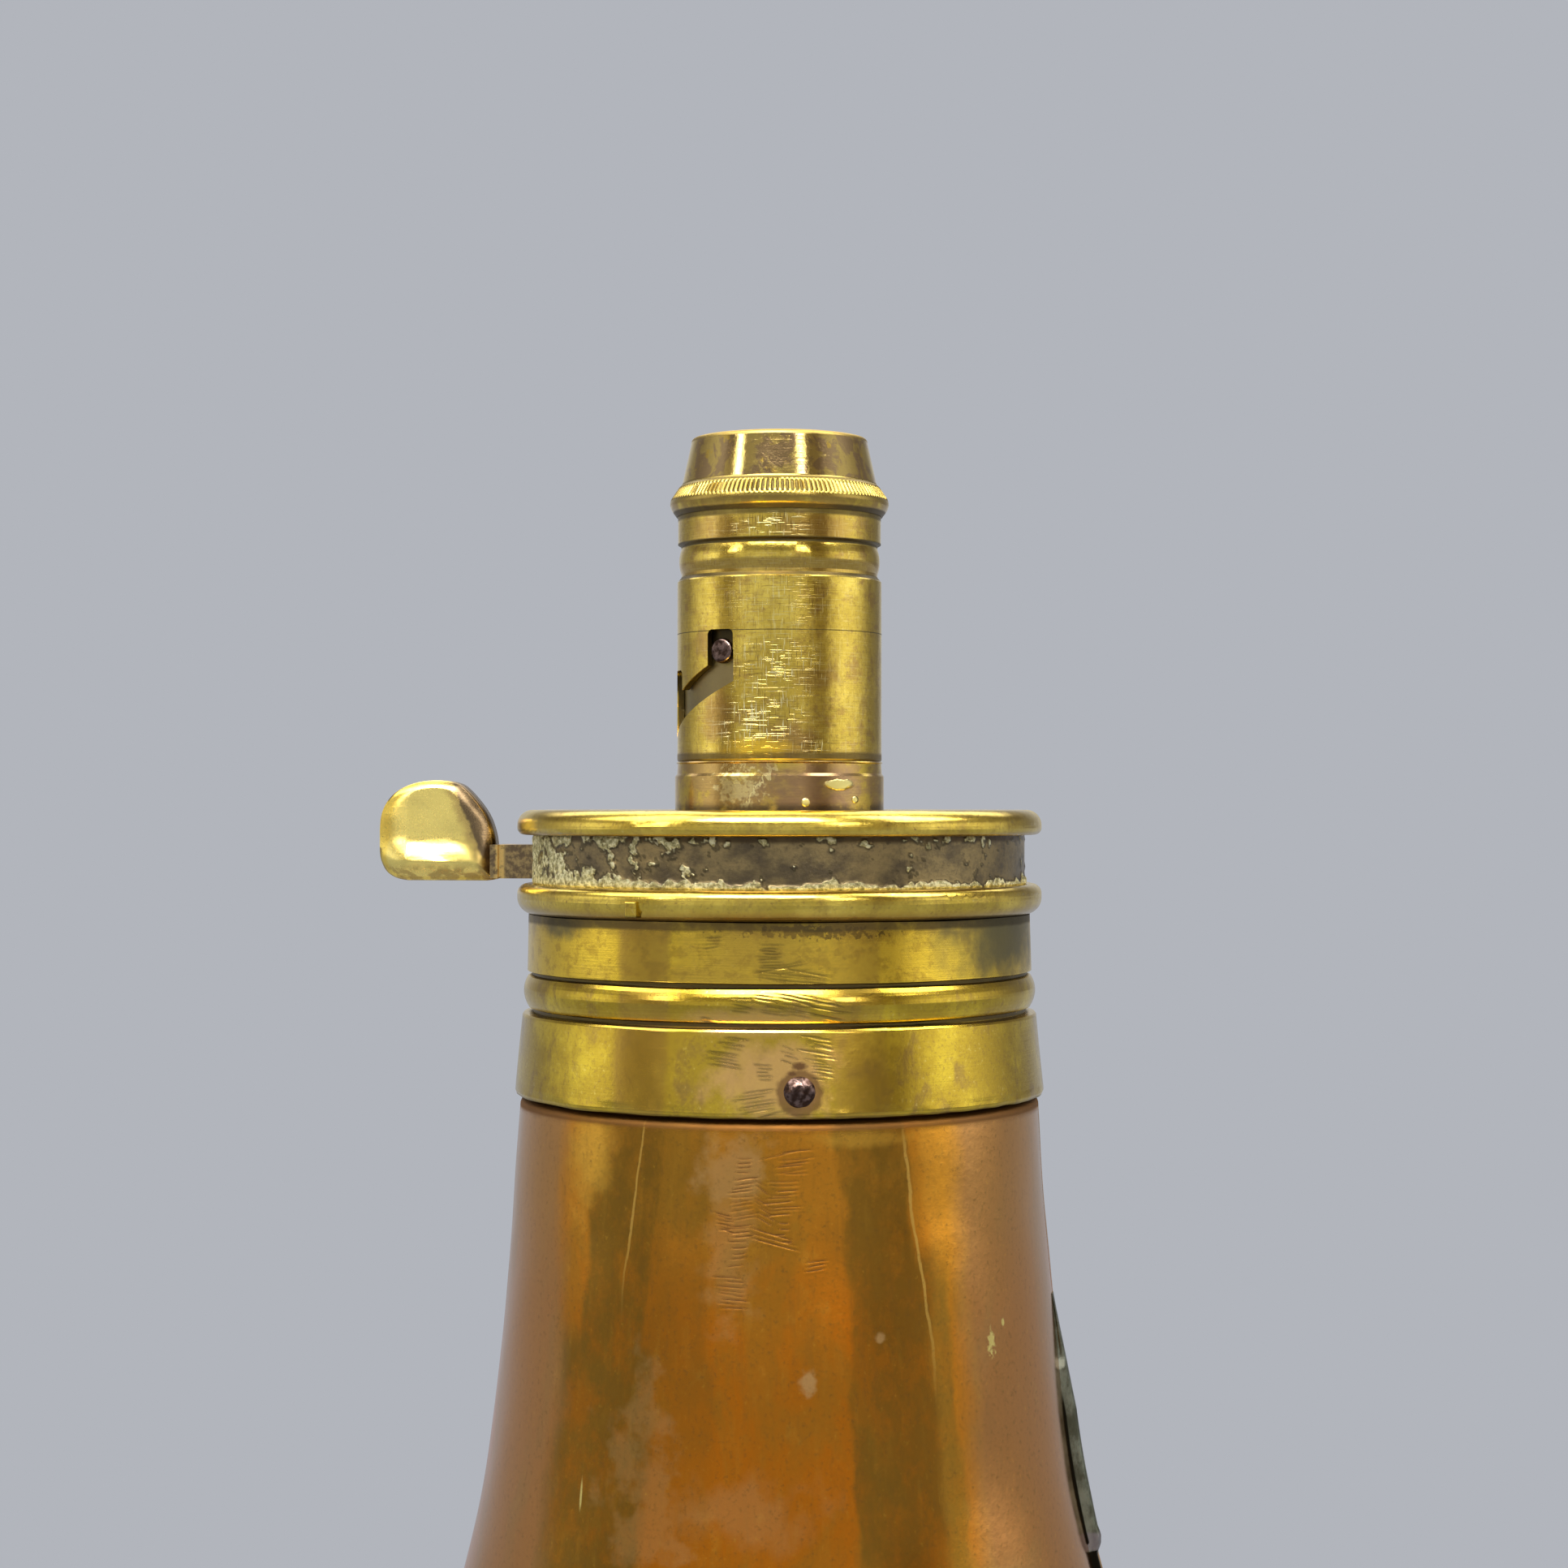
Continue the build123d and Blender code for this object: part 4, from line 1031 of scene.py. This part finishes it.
def make_band():
    """The chamber band: open where the arm swings, dark, and crusted."""
    low, high, inner, outer = -5.4, -1.8, 16.4, 18.05
    window = (162, 187.2)
    angles = spread(window[1] - 360, -20, 0.5) + spread(-20, window[0], 1) + [window[0]]
    outline = dense([(inner, low), (inner, high), (outer, high), (outer, low)], 0.12)
    crust = np.array([
        [crust_amount(a, z) if r > outer - 0.01 else 0.0 for r, z in outline] for a in angles
    ])
    edge = np.clip((outline[:, 1] - low) / 0.12, 0.15, 1) * np.clip((high - outline[:, 1]) / 0.12, 0.15, 1)
    points = turned_points(outline, angles, 0.16 * crust * edge)
    faces = capped(grid_faces(len(angles), len(outline), False, True), len(outline))
    metal = crusted_brass("band_metal")
    make_piece(
        "band_crusted", points, faces, "flask", metal, ["chamber_band"],
        values={"crust": crust},
    )
    sill = np.array([(inner, low), (inner, low + 0.15), (outer, low + 0.15), (outer, low)])
    sill_angles = spread(window[0], window[1], 1) + [window[1]]
    faces = capped(grid_faces(len(sill_angles), len(sill), False, True), len(sill))
    make_piece("band_sill", turned_points(sill, sill_angles), faces, "flask", metal)


# The thumb piece's outline seen from the front, and the flat facet inside it, as (distance from its left end,
# height), and how far the facet's foot stands proud by height.
THUMB_OUTLINE = [
    (0, 2.6), (0.12, 4.9), (0.95, 6.35), (2.4, 7.2), (4.2, 7.5), (5.9, 7.3), (6.9, 6.6), (8.1, 5.1),
    (8.7, 3.6), (8.9, 2), (8.9, 0.4), (8.3, 0), (5, 0), (2.2, 0), (0.8, 0.45), (0.15, 1.4),
]
THUMB_FACET = [
    (2.3, 2.8), (2.35, 4.9), (2.45, 6.2), (3, 6.75), (4.3, 6.95), (5.5, 6.75), (6.2, 6), (7, 4.7),
    (7.4, 3.5), (7.6, 2.4), (7.7, 1.6), (7.2, 1.45), (5, 1.4), (3, 1.45), (2.5, 1.6), (2.3, 2),
]
THUMB_FOOT = [(1.4, 0.88), (2, 0.68), (2.5, 0.45), (2.9, 0.28), (3.25, 0.2), (3.6, 0.16), (6.9, 0)]
THUMB_SIDE, THUMB_FACET_DEPTH = 0.75, 1.24


def smooth_loop(points, parts=8):
    """A closed Catmull-Rom curve through points."""
    p = np.array(points, float)
    before, after, beyond = np.roll(p, 1, 0), np.roll(p, -1, 0), np.roll(p, -2, 0)
    t = (np.arange(parts) / parts)[None, :, None]
    p, before, after, beyond = (v[:, None, :] for v in (p, before, after, beyond))
    curve = 0.5 * (
        2 * p + (after - before) * t + (2 * before - 5 * p + 4 * after - beyond) * t**2
        + (3 * p - before - 3 * after + beyond) * t**3
    )
    return curve.reshape(-1, 2)


def make_thumb_piece():
    """The thumb piece: a bevelled block, the same in front and behind, with a dished facet worn smooth."""
    low, high = (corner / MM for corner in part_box("thumb_piece"))
    outer = smooth_loop(THUMB_OUTLINE)
    facet = smooth_loop(THUMB_FACET)
    outer = np.clip(outer, 0, (high.x - low.x, high.z - low.z))
    middle = facet.mean(0)

    def facet_depth(ring):
        """Half the block's thickness over the facet, whose foot turns up under the thumb."""
        foot = np.interp(ring[:, 1], *zip(*THUMB_FOOT))
        across = (ring[:, 0] - 3.5) / 4.0
        return np.minimum(THUMB_FACET_DEPTH + foot * (1 - 0.6 * across**2), high.y)

    rings = [(outer, np.zeros(len(outer))), (outer, np.full(len(outer), THUMB_SIDE))]
    for share in (0.12, 0.3, 0.5, 0.7, 0.85, 0.95, 1):
        bulge = 0.16 * math.sin(math.pi * share)
        depth = THUMB_SIDE + (facet_depth(facet) - THUMB_SIDE) * (share + bulge)
        rings.append((outer + (facet - outer) * share, np.minimum(depth, high.y)))
    for share in (0.04, 0.1, 0.18, 0.27, 0.36, 0.46, 0.56, 0.67, 0.78, 0.9, 0.99):
        ring = facet + (middle - facet) * share
        rings.append((ring, facet_depth(ring)))
    layers = [(ring, -depth) for ring, depth in rings[:0:-1]] + rings
    points = np.array([
        np.stack([low.x + ring[:, 0], depth, low.z + ring[:, 1]], 1) for ring, depth in layers
    ]).reshape(-1, 3)
    away = np.abs(points[:, 1])
    points[:, 1] += dents(points, 0.02, 2.5, 21) * (away > 1) * (away < 2)
    count = len(outer)
    faces = grid_faces(len(layers), count, False, True).tolist()
    faces.append(list(range(count))[::-1])
    faces.append([len(points) - count + k for k in range(count)])
    metal = brass(
        "thumb_brass", bright=(1, 0.79, 0.19), dull=(0.88, 0.64, 0.12), roughness=0.27, wear=1, film=0.2,
        detail=thumb_detail,
    )
    make_piece("thumb_block", points, faces, "lever", metal, ["thumb_piece"], crease=60)


def make_seam():
    """The soldered seam: a thin lip round the body's edge, with a dark gap beside it and a broken place."""
    # How far the lip stands proud on each side, by height.
    right = {
        137.5: 0, 134.0: 0.35, 129.0: 0.85, 123.0: 0.95, 120.5: 0.95, 119.8: 1.05, 119.2: 0.9, 118.7: 0.55,
        116.5: 0.6, 114.5: 1, 0.0: 1,
    }
    left = {111.0: 0.02, 96.0: 1, 0.0: 1.0}
    rows = np.concatenate([
        BELLY_Z - (BELLY_Z - BODY_LOW) * np.sin(np.linspace(math.pi / 2, 0, 40))[:-1],
        np.arange(BELLY_Z, 114, 2), np.arange(114, 137.6, 0.25),
    ])
    half_width, _ = body_sections(rows)
    sides = []
    for heights, sign in ((right, 1), (left, -1)):
        kept = rows <= max(heights)
        order = sorted(heights)
        proud = np.interp(rows[kept], order, [heights[h] for h in order])
        sides.append(np.stack([sign * half_width[kept], rows[kept], proud], 1))
    path = np.concatenate([sides[0][::-1], sides[1][1:]])
    along = np.gradient(path[:, :2], axis=0)
    outward = np.stack([-along[:, 1], along[:, 0]], 1)
    outward /= np.linalg.norm(outward, axis=1)[:, None]
    section = [
        (-0.9, -0.5), (0, -0.5), (0.25, -0.44), (0.55, -0.47), (0.85, -0.42), (1, -0.22),
        (1, 0.22), (0.85, 0.42), (0, 0.5), (-0.9, 0.5),
    ]
    points, gaps = [], []
    for (x, z, proud), (nx, nz) in zip(path, outward):
        for out, y in section:
            reach = out * proud if out > 0 else out * 0.5
            points.append((x + nx * reach, y, z + nz * reach))
            # The gap value marks the lip's open root and the broken place, which the solder's material paints
            # near black as their shadow.
            at_root = x > 0 and -0.01 < out < 0.1 and y < 0
            open_gap = min(1, max(0, (131.5 - z) / 3)) if at_root and z > 119.3 else 0.0
            broken = 1.0 if x > 0 and 116.0 < z < 119.0 and out < 0.9 else 0.0
            gaps.append(max(open_gap, broken))
    points = np.array(points)
    points[:, 2] = np.maximum(points[:, 2], 0)
    faces = capped(grid_faces(len(path), len(section), False, True)[:, ::-1], len(section))
    make_piece(
        "seam_lip", points, faces, "flask", solder("solder"), ["seam_solder"],
        values={"gap": np.array(gaps)},
    )


def make_collar_screws():
    """The collar screws' heads: rusty domes, a little pitted."""
    head_r, seat_r, height = 1.3, 18.75, -19.0
    shares = np.linspace(0.04, 1, 14)
    angles = np.radians(spread(0, 360, 9))
    points, faces = [], []
    for screw, angle in enumerate((-77, 43, 163)):
        out = polar(angle, 1, 0).normalized()
        side = Vector((-out.y, out.x, 0))
        start = len(points)
        for share in shares:
            lift = 0.95 * (1 - share**2.6) ** 0.7
            for turn in angles:
                u, v = head_r * share * math.cos(turn), head_r * share * math.sin(turn)
                pit = noise.noise(Vector((u * 2.2 + 7 * screw, v * 2.2, 0.3))) * 0.06 * (1 - share**4)
                place = out * (seat_r + 0.05 + lift + pit) + side * u
                points.append((place.x, place.y, PLATE_TOP + height + v))
        grid = grid_faces(len(shares), len(angles), False, True)[:, ::-1] + start
        faces += grid.tolist()
        faces.append([start + k for k in range(len(angles))])
        faces.append([len(points) - 1 - k for k in range(len(angles))])
    make_piece(
        "collar_screw_heads", points, faces, "flask", dark_steel("rusty_steel"), ["collar_screws"]
    )


def make_return_spring(metal):
    """The return spring: a copy of its mesh with its long edges cut shorter, left where it is with its eye on
    the post.
    """
    bend, tip = Vector((-15.1, -3.9, 0)), Vector((-8.2, -2.15, 0))
    turn = math.radians(50)
    along = Vector((math.cos(turn), math.sin(turn), 0))
    reach = (tip - bend).dot(along)
    mesh = nodes["return_spring"].data.copy()
    mesh.name = "return_spring_leaf"
    work = bmesh.new()
    work.from_mesh(mesh)
    bmesh.ops.remove_doubles(work, verts=work.verts, dist=1e-7)
    for _ in range(5):
        long = [edge for edge in work.edges if edge.calc_length() > 0.7 * MM]
        bmesh.ops.subdivide_edges(work, edges=long, cuts=1)
        bmesh.ops.triangulate(work, faces=work.faces)
    work.to_mesh(mesh)
    work.free()
    mesh.materials.clear()
    mesh.materials.append(metal)
    mesh.shade_smooth()
    mesh.set_sharp_from_angle(angle=math.radians(35))
    leaf = put("return_spring_leaf", mesh)
    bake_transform(leaf)
    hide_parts("return_spring")


make_body()
make_collar()
make_nozzle()
make_band()
make_thumb_piece()
make_seam()
make_collar_screws()

paint(brass("rim_brass", roughness=0.2, wear=0.8, film=0.35, detail=rim_detail), "base_disc", "top_plate")
paint(brass("pin_brass", roughness=0.2, detail=pin_detail), "collar_lock_pin")
paint(brass("sleeve_brass", roughness=0.13, detail=sleeve_detail), "charger_sleeve")
paint(brass("tube_brass", roughness=0.16, detail=tube_detail), "charger_tube")
paint(arm_metal("arm_metal"), "lever_arm")
inner_steel = dark_steel("dark_steel")
paint(inner_steel, "top_screws", "pivot_screw", "spring_post", "shutter", "shutter_rivets", "guide_screw")
make_return_spring(inner_steel)
